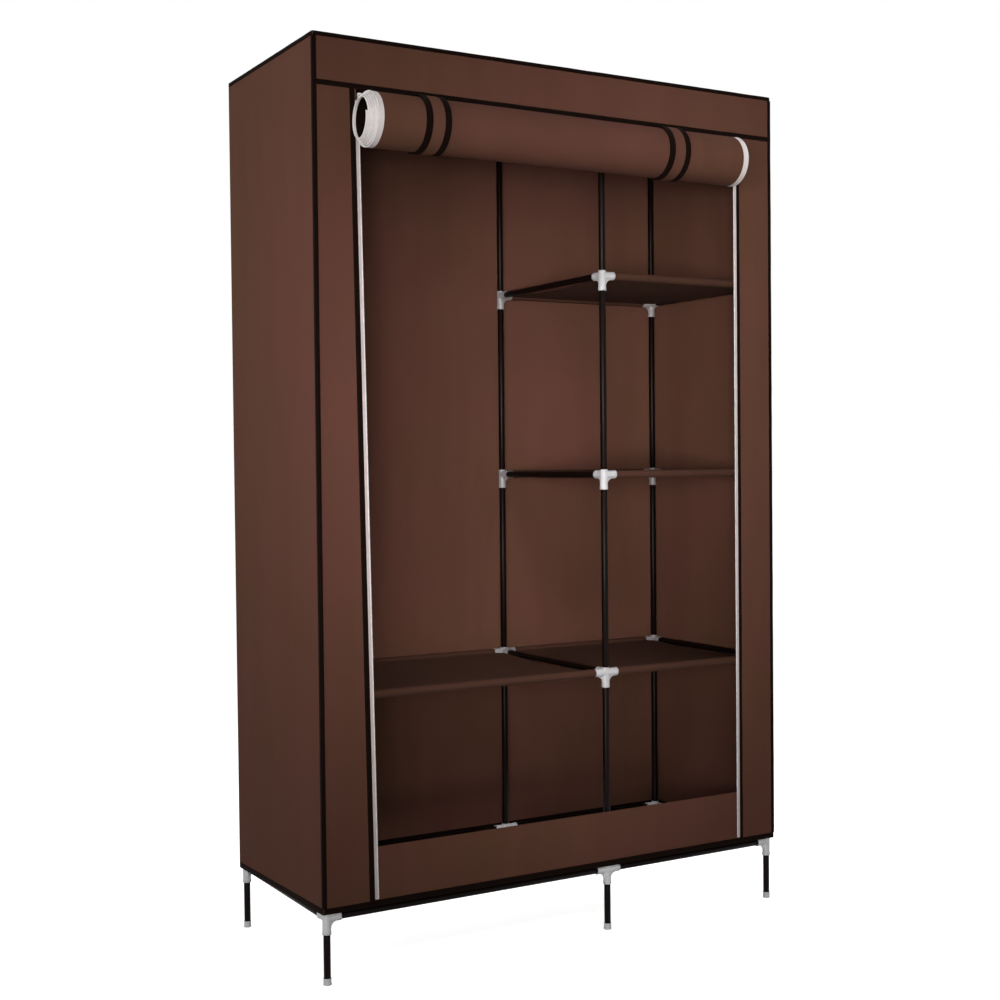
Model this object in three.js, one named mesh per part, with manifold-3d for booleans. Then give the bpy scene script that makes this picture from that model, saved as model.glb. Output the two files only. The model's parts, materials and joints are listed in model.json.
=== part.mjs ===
// Portable fabric wardrobe: a frame of steel tubes pushed into moulded corner sockets, under a cloth cover
// whose front door is rolled up and tied below the valance.
// Millimetres, +Z up, front towards -Y. The origin lies on the floor under the middle of the whole object.
import * as THREE from 'three';
import { mergeVertices } from 'three/addons/utils/BufferGeometryUtils.js';
import Module from 'manifold-3d';

const wasm = await Module();
wasm.setup();

// Frame: spacing of the post axes, and the heights of the five rail levels
const postSpanX = 1018;
const postSpanY = 399;
const shelfBayWidth = 410;
const levelPitch = 393.6;
const topLevel = 1685;

// Tubes and moulded sockets
const tubeOuter = 13;
const tubeWall = 0.6;
const fitGap = 0.3;
const socketWall = 1.7;
const socketReach = 30;
const socketStop = 10;
const barrelBelow = 30;
const barrelAbove = 10;
const gussetThickness = 4;
const gussetReach = 22;
const gussetDrop = 21;
const roundSides = 10;
const curveSteps = 4;
const cutOverrun = 5;
const mergeDistance = 0.001;

// Feet
const footRadius = 7.8;
const footHeight = 12.5;
const footBase = 3;
const footChamfer = 1.2;
const footTaper = 0.3;
const footSides = 16;

// Hanging rod sockets, moulded on the two top depth rails of the hanging bay
const rodCollarLength = 30;

// Cover cloth. Its hem hangs just above the base rails, and a little lower at the back.
const clothThickness = 1.8;
const coverEase = 0.6;
const hemHeight = 131;
const hemAboveBase = 9.6;
const backHemDrop = 9;
const valanceDrop = 92;
const skirtHeight = 107;
const skirtThickness = 1.4;
const skirtLap = 12;
const seamSink = 0.2;

// Zip tapes on the borders: from the cover's sides to the inner edges of the two tapes.
// The left one leans out towards its top.
const leftBorderTop = 87.6;
const leftBorderBottom = 108.9;
const rightBorder = 99.9;
const tapeWidth = 7.5;
const tapeThickness = 1.2;
const tapeBottom = 143;
const tapeTopGap = 1;
const tapeOverhang = 4.5;

// Zip sliders and their pull tabs
const sliderHeight = 13;
const sliderWidth = 9;
const sliderWaist = 6.4;
const sliderPlate = 1.2;
const sliderShoulder = 1.3;
const sliderWedgeWidth = 2;
const sliderWedgeHeight = 5.5;
const sliderParkGap = 6;
const bridgeWidth = 3;
const bridgeHalfLength = 4;
const bridgeRise = 4.2;
const bridgeWall = 1.2;
const bridgeEndWall = 1.6;
const bridgeFloor = 0.3;
const tabLength = 20;
const tabWidth = 7;
const tabThickness = 1.3;
const tabWindowHalfWidth = 2;
const tabWindowLength = 4.85;

// Rolled door: one strip of cloth and its two zip tapes, wound on the same spiral
const rollRadius = 50;
const rollCoreRadius = 34;
const rollTurns = 5.5;
const rollBackGap = 9;
const rollTopGap = 15.2;
const doorLeftInset = 88.9;
const doorRightInset = 157.2;
const doorThickness = 1.5;
const doorTapeWidth = 12;
const windingShift = 11.5;
const doorSeamRun = 6;
const doorSeamEase = 7;
const stepsPerTurn = 24;

// Ties round the rolled door
const leftTieInset = 192.9;
const rightTieInset = 317.5;
const tieWidth = 49.5;
const tieThickness = 1.2;
const tieEase = 0.5;
const tieSeamRise = 17;
const tieFrontRise = 3;
const tieArcSteps = 22;

// Shelf cloths, each sewn into a sleeve round its front and back rail
const shelfCloth = 1.2;
const sleeveEase = 0.6;
const sleeveSteps = 6;
const shelfSideGap = 1;

// Places worked out from the sizes above
const halfX = postSpanX / 2;
const halfY = postSpanY / 2;
const midPostX = halfX - shelfBayWidth;
const baseLevel = hemHeight - hemAboveBase;
const tubeRadius = tubeOuter / 2;
const boreRadius = tubeRadius + fitGap;
const socketRadius = boreRadius + socketWall;
const levels = {
  base: baseLevel,
  low: baseLevel + levelPitch,
  mid: baseLevel + 2 * levelPitch,
  high: baseLevel + 3 * levelPitch,
  top: topLevel,
};
const coverInnerX = halfX + socketRadius + coverEase;
const coverOuterX = coverInnerX + clothThickness;
const leftTapeTopX = leftBorderTop - coverOuterX;
const leftTapeBottomX = leftBorderBottom - coverOuterX;
const rightTapeX = coverOuterX - rightBorder;
const doorLeftX = doorLeftInset - coverOuterX;
const doorRightX = coverOuterX - doorRightInset;
const leftTieX = leftTieInset - coverOuterX;
const rightTieX = coverOuterX - rightTieInset;
const coverInnerBackY = halfY + socketRadius + coverEase;
const coverOuterBackY = coverInnerBackY + clothThickness;
const skirtInnerY = -(halfY + socketRadius + coverEase);
const skirtOuterY = skirtInnerY - skirtThickness;
const frontInnerY = skirtOuterY + seamSink;
const frontOuterY = frontInnerY - clothThickness;
const roofUnder = topLevel + socketRadius + coverEase;
const roofTop = roofUnder + clothThickness;
const valanceBottom = roofTop - valanceDrop;
const skirtTop = hemHeight + skirtHeight;
const backHemHeight = hemHeight - backHemDrop;
const tapeTop = valanceBottom - tapeTopGap;
const tapeBackY = frontOuterY - fitGap;
const tapeFrontY = tapeBackY - tapeThickness;
const rollCentreY = frontOuterY - rollBackGap - rollRadius;
const rollCentreZ = valanceBottom - rollTopGap - rollRadius;
const tieRadius = rollRadius + tieEase + tieThickness / 2;

// Finishes
const finishes = {
  tube: { color: 0x141314, roughness: 0.3, metalness: 0.35 },
  socket: { color: 0xb9bbbd, roughness: 0.5, metalness: 0 },
  cover: { color: 0x5a3a30, roughness: 0.9, metalness: 0 },
  shelf: { color: 0x4d342a, roughness: 0.9, metalness: 0 },
  tape: { color: 0xe6e2de, roughness: 0.8, metalness: 0 },
  tie: { color: 0x2a1a15, roughness: 0.9, metalness: 0 },
  zipMetal: { color: 0xd9d7d4, roughness: 0.4, metalness: 0.6 },
};

const wardrobe = new THREE.Group();

function addPiece(name, geometry, finish) {
  const mesh = new THREE.Mesh(geometry, new THREE.MeshStandardMaterial(finishes[finish]));
  mesh.name = name;
  wardrobe.add(mesh);
  return mesh;
}

// Solids for joining and cutting

function toSolid(geometry) {
  const bare = geometry.clone();
  bare.deleteAttribute('normal');
  bare.deleteAttribute('uv');
  const merged = mergeVertices(bare, mergeDistance);
  return new wasm.Manifold(new wasm.Mesh({
    numProp: 3,
    vertProperties: new Float32Array(merged.attributes.position.array),
    triVerts: new Uint32Array(merged.index.array),
  }));
}

function toGeometry(solid) {
  const mesh = solid.getMesh();
  const geometry = new THREE.BufferGeometry();
  geometry.setAttribute('position', new THREE.BufferAttribute(new Float32Array(mesh.vertProperties), 3));
  geometry.setIndex(new THREE.BufferAttribute(new Uint32Array(mesh.triVerts), 1));
  geometry.computeVertexNormals();
  return geometry;
}

// A round bar from start to end along x, y or z, through the point at
function bar(axis, radius, start, end, at = [0, 0, 0]) {
  const geometry = new THREE.CylinderGeometry(radius, radius, Math.abs(end - start), roundSides);
  if (axis === 'x') geometry.rotateZ(-Math.PI / 2);
  if (axis === 'z') geometry.rotateX(Math.PI / 2);
  const middle = (start + end) / 2;
  const centre = { x: at[0], y: at[1], z: at[2] };
  centre[axis] += middle;
  return geometry.translate(centre.x, centre.y, centre.z);
}

function block(x, y, z) {
  const geometry = new THREE.BoxGeometry(x[1] - x[0], y[1] - y[0], z[1] - z[0]);
  return geometry.translate((x[0] + x[1]) / 2, (y[0] + y[1]) / 2, (z[0] + z[1]) / 2);
}

// An outline in the y-z plane, extruded along x from start to end
function extrudeAlongX(shape, start, end, curveSegments = curveSteps) {
  const depth = end - start;
  const geometry = new THREE.ExtrudeGeometry(shape, { depth, bevelEnabled: false, curveSegments });
  const turn = new THREE.Matrix4().makeBasis(
    new THREE.Vector3(0, 1, 0), new THREE.Vector3(0, 0, 1), new THREE.Vector3(1, 0, 0));
  return geometry.applyMatrix4(turn).translate(start, 0, 0);
}

// An outline in the x-z plane, extruded along y from its back face to its front face
function extrudeToFront(shape, backY, frontY) {
  const geometry = new THREE.ExtrudeGeometry(shape, {
    depth: backY - frontY,
    bevelEnabled: false,
    curveSegments: curveSteps,
  });
  return geometry.rotateX(Math.PI / 2).translate(0, backY, 0);
}

function outline(points) {
  return new THREE.Shape(points.map(([u, v]) => new THREE.Vector2(u, v)));
}

// Sockets and posts

// A rib with a hollow edge under a socket arm, in the plane of the arm and the post
function gusset(direction, z) {
  const rib = new THREE.Shape();
  rib.moveTo(0, -tubeRadius);
  rib.lineTo(gussetReach, -tubeRadius);
  rib.quadraticCurveTo(socketRadius, -socketRadius, tubeRadius, -gussetDrop);
  rib.lineTo(0, -gussetDrop);
  rib.closePath();
  const geometry = new THREE.ExtrudeGeometry(rib, {
    depth: gussetThickness,
    bevelEnabled: false,
    curveSegments: curveSteps,
  });
  geometry.translate(0, 0, -gussetThickness / 2);
  geometry.rotateX(Math.PI / 2);
  geometry.rotateZ(Math.atan2(direction[1], direction[0]));
  return geometry.translate(0, 0, z);
}

function armBar(direction, radius, start, end, z) {
  const axis = direction[0] === 0 ? 'y' : 'x';
  const sign = direction[0] + direction[1];
  return bar(axis, radius, sign * start, sign * end, [0, 0, z]);
}

const towards = { left: [-1, 0], right: [1, 0], front: [0, -1], back: [0, 1] };

// One post: its tube with the moulded sockets of all levels, arms pointing to the rails that they carry
function post(armsByLevel, throughTop) {
  const barrelTop = { top: socketRadius };
  const tubeBottom = footBase + fitGap;
  const tubeTop = topLevel - boreRadius - socketWall;
  const added = [bar('z', tubeRadius, tubeBottom, tubeTop)];
  const cut = [bar('z', tubeRadius - tubeWall, tubeBottom - cutOverrun, tubeTop - tubeRadius)];
  for (const [level, z] of Object.entries(levels)) {
    added.push(bar('z', socketRadius, z - barrelBelow, z + (barrelTop[level] ?? barrelAbove)));
    for (const name of armsByLevel[level]) {
      const direction = towards[name];
      added.push(armBar(direction, socketRadius, 0, socketReach, z));
      added.push(gusset(direction, z));
      cut.push(armBar(direction, boreRadius, socketStop, socketReach + cutOverrun, z));
    }
  }
  if (throughTop) cut.push(bar('x', boreRadius, -socketReach, socketReach, [0, 0, topLevel]));
  const whole = wasm.Manifold.union(added.map(toSolid));
  return toGeometry(whole.subtract(wasm.Manifold.union(cut.map(toSolid))));
}

function postArms(column, row) {
  const inward = row === 'front' ? 'back' : 'front';
  const sideways = { left: ['right'], mid: ['left', 'right'], right: ['left'] }[column];
  const rightBayOnly = { left: [], mid: ['right', inward], right: ['left', inward] }[column];
  const both = [...sideways, inward];
  return { base: both, low: both, mid: rightBayOnly, high: rightBayOnly, top: both };
}

const columns = { left: -halfX, mid: midPostX, right: halfX };
const rows = { front: -halfY, back: halfY };

for (const [column, x] of Object.entries(columns)) {
  for (const [row, y] of Object.entries(rows)) {
    const geometry = post(postArms(column, row), column === 'mid');
    addPiece(`${row}_${column}_post`, geometry, 'tube').position.set(x, y, 0);
  }
}

// Feet: plastic caps on the lower ends of the posts

function foot() {
  const profile = [
    [0, 0],
    [footRadius - footChamfer, 0],
    [footRadius, footChamfer],
    [footRadius - footTaper, footHeight],
    [0, footHeight],
  ].map(([r, z]) => new THREE.Vector2(r, z));
  const body = new THREE.LatheGeometry(profile, footSides).rotateX(Math.PI / 2);
  const bore = bar('z', boreRadius, footBase, footHeight + cutOverrun);
  return toGeometry(toSolid(body).subtract(toSolid(bore)));
}

for (const [column, x] of Object.entries(columns)) {
  for (const [row, y] of Object.entries(rows)) {
    addPiece(`${row}_${column}_foot`, foot(), 'socket').position.set(x, y, 0);
  }
}

// Rails: plain tubes whose ends sit in the sockets

const railInset = socketStop + fitGap;

function tubePiece(axis, start, end, at) {
  const outside = toSolid(bar(axis, tubeRadius, start, end, at));
  const inside = toSolid(bar(axis, tubeRadius - tubeWall, start - cutOverrun, end + cutOverrun, at));
  return { outside, inside };
}

function widthRail(fromX, toX, y, z) {
  const { outside, inside } = tubePiece('x', fromX + railInset, toX - railInset, [0, y, z]);
  return toGeometry(outside.subtract(inside));
}

function depthRail(x, z) {
  const { outside, inside } = tubePiece('y', -halfY + railInset, halfY - railInset, [x, 0, z]);
  return toGeometry(outside.subtract(inside));
}

// A top depth rail with the moulded collar and socket that hold one end of the hanging rod
function rodRail(x, side) {
  const at = [x, 0, topLevel];
  const { outside, inside } = tubePiece('y', -halfY + railInset, halfY - railInset, at);
  const sign = towards[side][0];
  const collar = toSolid(bar('y', socketRadius, -rodCollarLength / 2, rodCollarLength / 2, at));
  const arm = toSolid(bar('x', socketRadius, 0, sign * socketReach, at));
  const bore = toSolid(bar('x', boreRadius, sign * socketStop, sign * (socketReach + cutOverrun), at));
  return toGeometry(outside.add(collar).add(arm).subtract(bore).subtract(inside));
}

for (const [row, y] of Object.entries(rows)) {
  for (const level of ['base', 'low']) {
    addPiece(`${row}_${level}_rail_left`, widthRail(-halfX, midPostX, y, levels[level]), 'tube');
  }
  for (const level of ['base', 'low', 'mid', 'high']) {
    addPiece(`${row}_${level}_rail_right`, widthRail(midPostX, halfX, y, levels[level]), 'tube');
  }
  addPiece(`${row}_top_rail`, widthRail(-halfX, halfX, y, topLevel), 'tube');
}

const depthLevels = {
  left: ['base', 'low'],
  mid: ['base', 'low', 'mid', 'high'],
  right: ['base', 'low', 'mid', 'high', 'top'],
};

for (const [column, names] of Object.entries(depthLevels)) {
  for (const level of names) {
    addPiece(`${column}_${level}_depth_rail`, depthRail(columns[column], levels[level]), 'tube');
  }
}

addPiece('left_top_depth_rail', rodRail(-halfX, 'right'), 'tube');
addPiece('mid_top_depth_rail', rodRail(midPostX, 'left'), 'tube');
addPiece('hanging_rod', widthRail(-halfX, midPostX, 0, topLevel), 'tube');

// Shelf cloths

// The section across one shelf: a flat sheet at the height of the rail axes, with a round sleeve at each end
function shelfSection() {
  const inner = tubeRadius + sleeveEase;
  const outer = inner + shelfCloth;
  const section = new THREE.Shape();
  const join = Math.asin(shelfCloth / 2 / outer);
  section.absarc(halfY, 0, outer, Math.PI - join, join - Math.PI, true);
  section.absarc(-halfY, 0, outer, -join, join - 2 * Math.PI, true);
  section.closePath();
  for (const y of [-halfY, halfY]) {
    const sleeve = new THREE.Path();
    sleeve.absarc(y, 0, inner, 0, 2 * Math.PI);
    section.holes.push(sleeve);
  }
  return section;
}

function shelf(leftX, rightX, z) {
  const edge = socketRadius + shelfSideGap;
  const sheet = extrudeAlongX(shelfSection(), leftX + edge, rightX - edge, sleeveSteps).translate(0, 0, z);
  const notchX = socketReach + shelfSideGap;
  const notchY = halfY - edge;
  const notches = [];
  const sides = [[leftX - cutOverrun, leftX + notchX], [rightX - notchX, rightX + cutOverrun]];
  for (const [fromX, toX] of sides) {
    for (const sign of [-1, 1]) {
      const ends = [sign * notchY, sign * (halfY + edge + cutOverrun)].sort((a, b) => a - b);
      notches.push(toSolid(block([fromX, toX], ends, [z - edge - cutOverrun, z + edge + cutOverrun])));
    }
  }
  return toGeometry(toSolid(sheet).subtract(wasm.Manifold.union(notches)));
}

addPiece('low_shelf_left', shelf(-halfX, midPostX, levels.low), 'shelf');
addPiece('low_shelf_right', shelf(midPostX, halfX, levels.low), 'shelf');
addPiece('mid_shelf', shelf(midPostX, halfX, levels.mid), 'shelf');
addPiece('high_shelf', shelf(midPostX, halfX, levels.high), 'shelf');

// Cover panels

const panelTop = roofUnder - fitGap;
const coverX = [-coverOuterX, coverOuterX];
const sideY = [frontInnerY + fitGap, coverInnerBackY - fitGap];

const sideCut = outline([
  [sideY[0], hemHeight],
  [sideY[1], backHemHeight],
  [sideY[1], panelTop],
  [sideY[0], panelTop],
]);

addPiece('left_side_panel', extrudeAlongX(sideCut, -coverOuterX, -coverInnerX), 'cover');
addPiece('right_side_panel', extrudeAlongX(sideCut, coverInnerX, coverOuterX), 'cover');
addPiece('back_panel',
  block(coverX, [coverInnerBackY, coverOuterBackY], [backHemHeight, panelTop]), 'cover');
addPiece('roof_panel', block(coverX, [frontOuterY, coverOuterBackY], [roofUnder, roofTop]), 'cover');

// Where the inner edge of the left tape lies at a height
function leftTapeX(z) {
  const rise = (z - tapeBottom) / (tapeTop - tapeBottom);
  return THREE.MathUtils.lerp(leftTapeBottomX, leftTapeTopX, rise);
}

// The front: valance and two borders in one layer, the low skirt lapped on behind them
function frontPanel() {
  const doorway = [
    [leftTapeX(hemHeight) - tapeOverhang, hemHeight],
    [leftTapeX(valanceBottom) - tapeOverhang, valanceBottom],
    [rightTapeX + tapeOverhang, valanceBottom],
    [rightTapeX + tapeOverhang, hemHeight],
  ];
  const borders = outline([
    [-coverOuterX, hemHeight],
    ...doorway,
    [coverOuterX, hemHeight],
    [coverOuterX, panelTop],
    [-coverOuterX, panelTop],
  ]);
  const skirt = block(
    [leftTapeX(skirtTop) - tapeOverhang - skirtLap, rightTapeX + tapeOverhang + skirtLap],
    [skirtOuterY, skirtInnerY], [hemHeight, skirtTop]);
  return toGeometry(toSolid(extrudeToFront(borders, frontInnerY, frontOuterY)).add(toSolid(skirt)));
}

addPiece('front_panel', frontPanel(), 'cover');

const leftTape = outline([
  [leftTapeX(tapeBottom) - tapeWidth, tapeBottom],
  [leftTapeX(tapeBottom), tapeBottom],
  [leftTapeX(tapeTop), tapeTop],
  [leftTapeX(tapeTop) - tapeWidth, tapeTop],
]);
addPiece('left_zip_tape', extrudeToFront(leftTape, tapeBackY, tapeFrontY), 'tape');
addPiece('right_zip_tape',
  block([rightTapeX, rightTapeX + tapeWidth], [tapeFrontY, tapeBackY], [tapeBottom, tapeTop]), 'tape');

// Rolled door

// The angle at which a line from a point outside a circle touches it; side is -1 or 1
function tangentAngle(point, radius, side) {
  return Math.atan2(point.y, point.x) + side * Math.acos(radius / point.length());
}

// Points of the roll's section are written from its centre, as distances back and up
const windingOuter = rollRadius - doorThickness / 2;
const windingInner = rollCoreRadius + doorThickness / 2;
const windingPitch = (windingOuter - windingInner) / rollTurns;
const seamPoint = new THREE.Vector2(frontInnerY - clothThickness / 2 - rollCentreY,
  valanceBottom - fitGap - doorSeamRun - rollCentreZ);
const leaveAngle = tangentAngle(seamPoint, windingOuter, -1);

// The path of the wound strip from its outer end to its core
function windingPath() {
  const steps = Math.round(rollTurns * stepsPerTurn);
  const path = [];
  for (let step = 0; step <= steps; step += 1) {
    const turn = step / stepsPerTurn;
    const radius = windingOuter - windingPitch * turn;
    const angle = leaveAngle - 2 * Math.PI * turn;
    path.push(new THREE.Vector2(Math.cos(angle), Math.sin(angle)).multiplyScalar(radius));
  }
  return path;
}

// A strip of constant thickness along a path in the y-z plane; edges gives its left and right x at a step
function strip(path, thickness, edges) {
  const positions = [];
  const index = [];
  path.forEach((point, step) => {
    const arriving = point.clone().sub(path[step - 1] ?? point).normalize();
    const leaving = (path[step + 1] ?? point).clone().sub(point).normalize();
    const along = arriving.clone().add(leaving).normalize();
    const straight = step === 0 ? leaving : arriving;
    const half = new THREE.Vector2(-along.y, along.x).multiplyScalar(thickness / 2 / along.dot(straight));
    const [leftX, rightX] = edges(step);
    for (const [x, sign] of [[leftX, 1], [rightX, 1], [rightX, -1], [leftX, -1]]) {
      positions.push(x, point.x + sign * half.x, point.y + sign * half.y);
    }
  });
  for (let step = 0; step < path.length - 1; step += 1) {
    for (let corner = 0; corner < 4; corner += 1) {
      const a = 4 * step + corner;
      const b = 4 * step + (corner + 1) % 4;
      index.push(a, b, a + 4, b, b + 4, a + 4);
    }
  }
  const last = 4 * (path.length - 1);
  index.push(0, 2, 1, 0, 3, 2);
  index.push(last, last + 1, last + 2, last, last + 2, last + 3);
  const geometry = new THREE.BufferGeometry();
  geometry.setAttribute('position', new THREE.BufferAttribute(new Float32Array(positions), 3));
  geometry.setIndex(index);
  geometry.computeVertexNormals();
  return geometry.translate(0, rollCentreY, rollCentreZ);
}

// The least gap between two windings of a path, measured between its points
function leastGap(path, thickness) {
  let least = Infinity;
  path.forEach((point, step) => {
    for (let other = step + stepsPerTurn / 2; other < path.length; other += 1) {
      least = Math.min(least, point.distanceTo(path[other]) - thickness);
    }
  });
  return least;
}

const winding = windingPath();
const seamRun = [
  seamPoint.clone().add(new THREE.Vector2(0, doorSeamRun)),
  seamPoint,
];
const doorPath = [...seamRun, ...winding];

// Each winding lies a little further left than the one round it
function windingShiftAt(step) {
  return -windingShift * THREE.MathUtils.clamp(step / (winding.length - 1), 0, 1);
}

// The seam stays clear of both border tapes all the way down, and the roll lies further left than the seam
addPiece('door_roll', strip(doorPath, doorThickness, (step) => {
  if (step < seamRun.length) return [leftTapeBottomX + doorSeamEase, rightTapeX - doorSeamEase];
  const shift = windingShiftAt(step - seamRun.length);
  return [doorLeftX + shift, doorRightX + shift];
}), 'cover');
addPiece('left_door_tape', strip(winding, doorThickness, (step) => {
  const edge = doorLeftX - fitGap + windingShiftAt(step);
  return [edge - doorTapeWidth, edge];
}), 'tape');
addPiece('right_door_tape', strip(winding, doorThickness, (step) => {
  const edge = doorRightX + fitGap + windingShiftAt(step);
  return [edge, edge + doorTapeWidth];
}), 'tape');
console.log(`least gap between door windings: ${leastGap(winding, doorThickness).toFixed(2)} mm`);

// Ties: from the back of the valance down behind the roll, round it and up to the front of the valance
function tiePath() {
  const backSeam = new THREE.Vector2(frontInnerY + fitGap + tieThickness / 2 - rollCentreY, seamPoint.y);
  const frontSeam = new THREE.Vector2(frontOuterY - fitGap - tieThickness / 2 - rollCentreY,
    valanceBottom + tieFrontRise - rollCentreZ);
  const startAngle = tangentAngle(backSeam, tieRadius, -1);
  const endAngle = tangentAngle(frontSeam, tieRadius, 1) - 2 * Math.PI;
  const path = [backSeam.clone().add(new THREE.Vector2(0, tieSeamRise)), backSeam];
  for (let step = 0; step <= tieArcSteps; step += 1) {
    const angle = THREE.MathUtils.lerp(startAngle, endAngle, step / tieArcSteps);
    path.push(new THREE.Vector2(Math.cos(angle), Math.sin(angle)).multiplyScalar(tieRadius));
  }
  path.push(frontSeam, frontSeam.clone().add(new THREE.Vector2(0, tieFrontRise)));
  return path;
}

for (const [name, x] of [['left_tie', leftTieX], ['right_tie', rightTieX]]) {
  addPiece(name, strip(tiePath(), tieThickness, () => [x - tieWidth / 2, x + tieWidth / 2]), 'tie');
}

// Zip sliders and pull tabs, drawn about the middle of the slider's front plate, outward towards -Y

function slider() {
  const halfHeight = sliderHeight / 2;
  const plateOutline = outline([
    [-sliderWaist / 2, -halfHeight],
    [sliderWaist / 2, -halfHeight],
    [sliderWidth / 2, halfHeight - sliderWedgeHeight],
    [sliderWidth / 2, halfHeight - sliderShoulder],
    [sliderWaist / 2, halfHeight],
    [-sliderWaist / 2, halfHeight],
    [-sliderWidth / 2, halfHeight - sliderShoulder],
    [-sliderWidth / 2, halfHeight - sliderWedgeHeight],
  ]);
  const slot = tapeThickness + 2 * fitGap;
  const frontPlate = extrudeToFront(plateOutline, sliderPlate, 0);
  const backPlate = extrudeToFront(plateOutline, 2 * sliderPlate + slot, sliderPlate + slot);
  const wedge = block([-sliderWedgeWidth / 2, sliderWedgeWidth / 2],
    [sliderPlate / 2, sliderPlate + slot + sliderPlate / 2],
    [halfHeight - sliderWedgeHeight, halfHeight]);
  const arch = new THREE.Shape();
  arch.moveTo(sliderPlate / 2, -bridgeHalfLength);
  arch.lineTo(-bridgeRise / 2, -bridgeHalfLength);
  arch.quadraticCurveTo(-bridgeRise, -bridgeHalfLength, -bridgeRise, 0);
  arch.quadraticCurveTo(-bridgeRise, bridgeHalfLength, -bridgeRise / 2, bridgeHalfLength);
  arch.lineTo(sliderPlate / 2, bridgeHalfLength);
  arch.closePath();
  const bridge = toSolid(extrudeAlongX(arch, -bridgeWidth / 2, bridgeWidth / 2));
  const eyeHalf = bridgeHalfLength - bridgeEndWall;
  const eye = toSolid(block([-bridgeWidth, bridgeWidth], [-bridgeRise + bridgeWall, -bridgeFloor],
    [-eyeHalf, eyeHalf]));
  const plates = wasm.Manifold.union([frontPlate, backPlate, wedge].map(toSolid));
  return toGeometry(plates.add(bridge.subtract(eye)));
}

const tabAxisY = -(bridgeFloor + bridgeRise - bridgeWall) / 2;

function pullTab() {
  const barTop = tabThickness / 2;
  const plate = new THREE.Shape();
  plate.moveTo(-tabWidth / 2, barTop);
  plate.lineTo(-tabWidth / 2, -tabLength + tabWidth / 2);
  plate.absarc(0, -tabLength + tabWidth / 2, tabWidth / 2, Math.PI, 2 * Math.PI);
  plate.lineTo(tabWidth / 2, barTop);
  plate.closePath();
  const window = new THREE.Path();
  window.moveTo(-tabWindowHalfWidth, -barTop);
  window.lineTo(tabWindowHalfWidth, -barTop);
  window.lineTo(tabWindowHalfWidth, -barTop - tabWindowLength);
  window.lineTo(-tabWindowHalfWidth, -barTop - tabWindowLength);
  window.closePath();
  plate.holes.push(window);
  return extrudeToFront(plate, tabThickness / 2, -tabThickness / 2);
}

const sliderPlaneY = tapeFrontY - fitGap - sliderPlate;
const sliderZ = tapeTop - sliderParkGap - sliderHeight / 2;
const sliderOffset = fitGap + sliderWedgeWidth / 2;
const sliders = { left: leftTapeX(sliderZ) + sliderOffset, right: rightTapeX - sliderOffset };

for (const [side, x] of Object.entries(sliders)) {
  addPiece(`${side}_zip_slider`, slider(), 'zipMetal').position.set(x, sliderPlaneY, sliderZ);
  addPiece(`${side}_pull_tab`, pullTab(), 'zipMetal').position.set(x, sliderPlaneY + tabAxisY, sliderZ);
}

// The whole object is centred over the origin, front to back
const frontReach = rollCentreY - tieRadius - tieThickness / 2;
wardrobe.position.y = -(frontReach + coverOuterBackY) / 2;

export default wardrobe;
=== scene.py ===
import json
import math
from contextlib import contextmanager

import bmesh
import bpy
import numpy as np
from mathutils import Matrix, Vector, noise

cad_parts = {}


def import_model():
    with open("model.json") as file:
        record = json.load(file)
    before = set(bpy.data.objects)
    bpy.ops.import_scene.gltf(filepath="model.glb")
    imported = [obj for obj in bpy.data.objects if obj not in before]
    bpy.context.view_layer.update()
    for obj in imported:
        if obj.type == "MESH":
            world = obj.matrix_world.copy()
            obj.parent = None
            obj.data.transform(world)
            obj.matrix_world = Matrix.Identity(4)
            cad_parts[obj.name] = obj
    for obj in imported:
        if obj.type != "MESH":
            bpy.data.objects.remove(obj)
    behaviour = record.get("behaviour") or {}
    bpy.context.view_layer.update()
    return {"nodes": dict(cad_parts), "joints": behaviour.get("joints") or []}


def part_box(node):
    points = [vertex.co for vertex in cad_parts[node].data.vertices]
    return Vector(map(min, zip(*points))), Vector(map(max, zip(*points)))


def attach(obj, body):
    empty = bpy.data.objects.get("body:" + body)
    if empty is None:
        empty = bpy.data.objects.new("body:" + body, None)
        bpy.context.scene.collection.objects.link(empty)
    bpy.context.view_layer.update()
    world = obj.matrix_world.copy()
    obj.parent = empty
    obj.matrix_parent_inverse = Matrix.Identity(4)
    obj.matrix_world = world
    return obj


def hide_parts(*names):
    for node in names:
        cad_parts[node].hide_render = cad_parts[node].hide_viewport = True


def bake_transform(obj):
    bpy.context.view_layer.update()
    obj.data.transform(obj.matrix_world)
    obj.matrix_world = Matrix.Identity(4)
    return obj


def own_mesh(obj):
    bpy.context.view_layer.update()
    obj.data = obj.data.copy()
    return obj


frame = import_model()

# Bodies of the record
FIXED = "wardrobe"
DOOR = "rolled_door"

# Camera and light
CAMERA_PLACE = (-1.57893, -2.60705, 0.93254)
CAMERA_YAW = math.radians(30.285)
CAMERA_PITCH = math.radians(-1.399)
CAMERA_ROLL = math.radians(-0.578)
CAMERA_LENS = 53.92
CAMERA_SENSOR = 36
CAMERA_SIGHT = 100
AMBIENT = 0.22
AMBIENT_FROM_BELOW = 0.06
FLOOR_HALF = 60
FLOOR_TONE = 0.9
FLOOR_GLOW = 0.85

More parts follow.
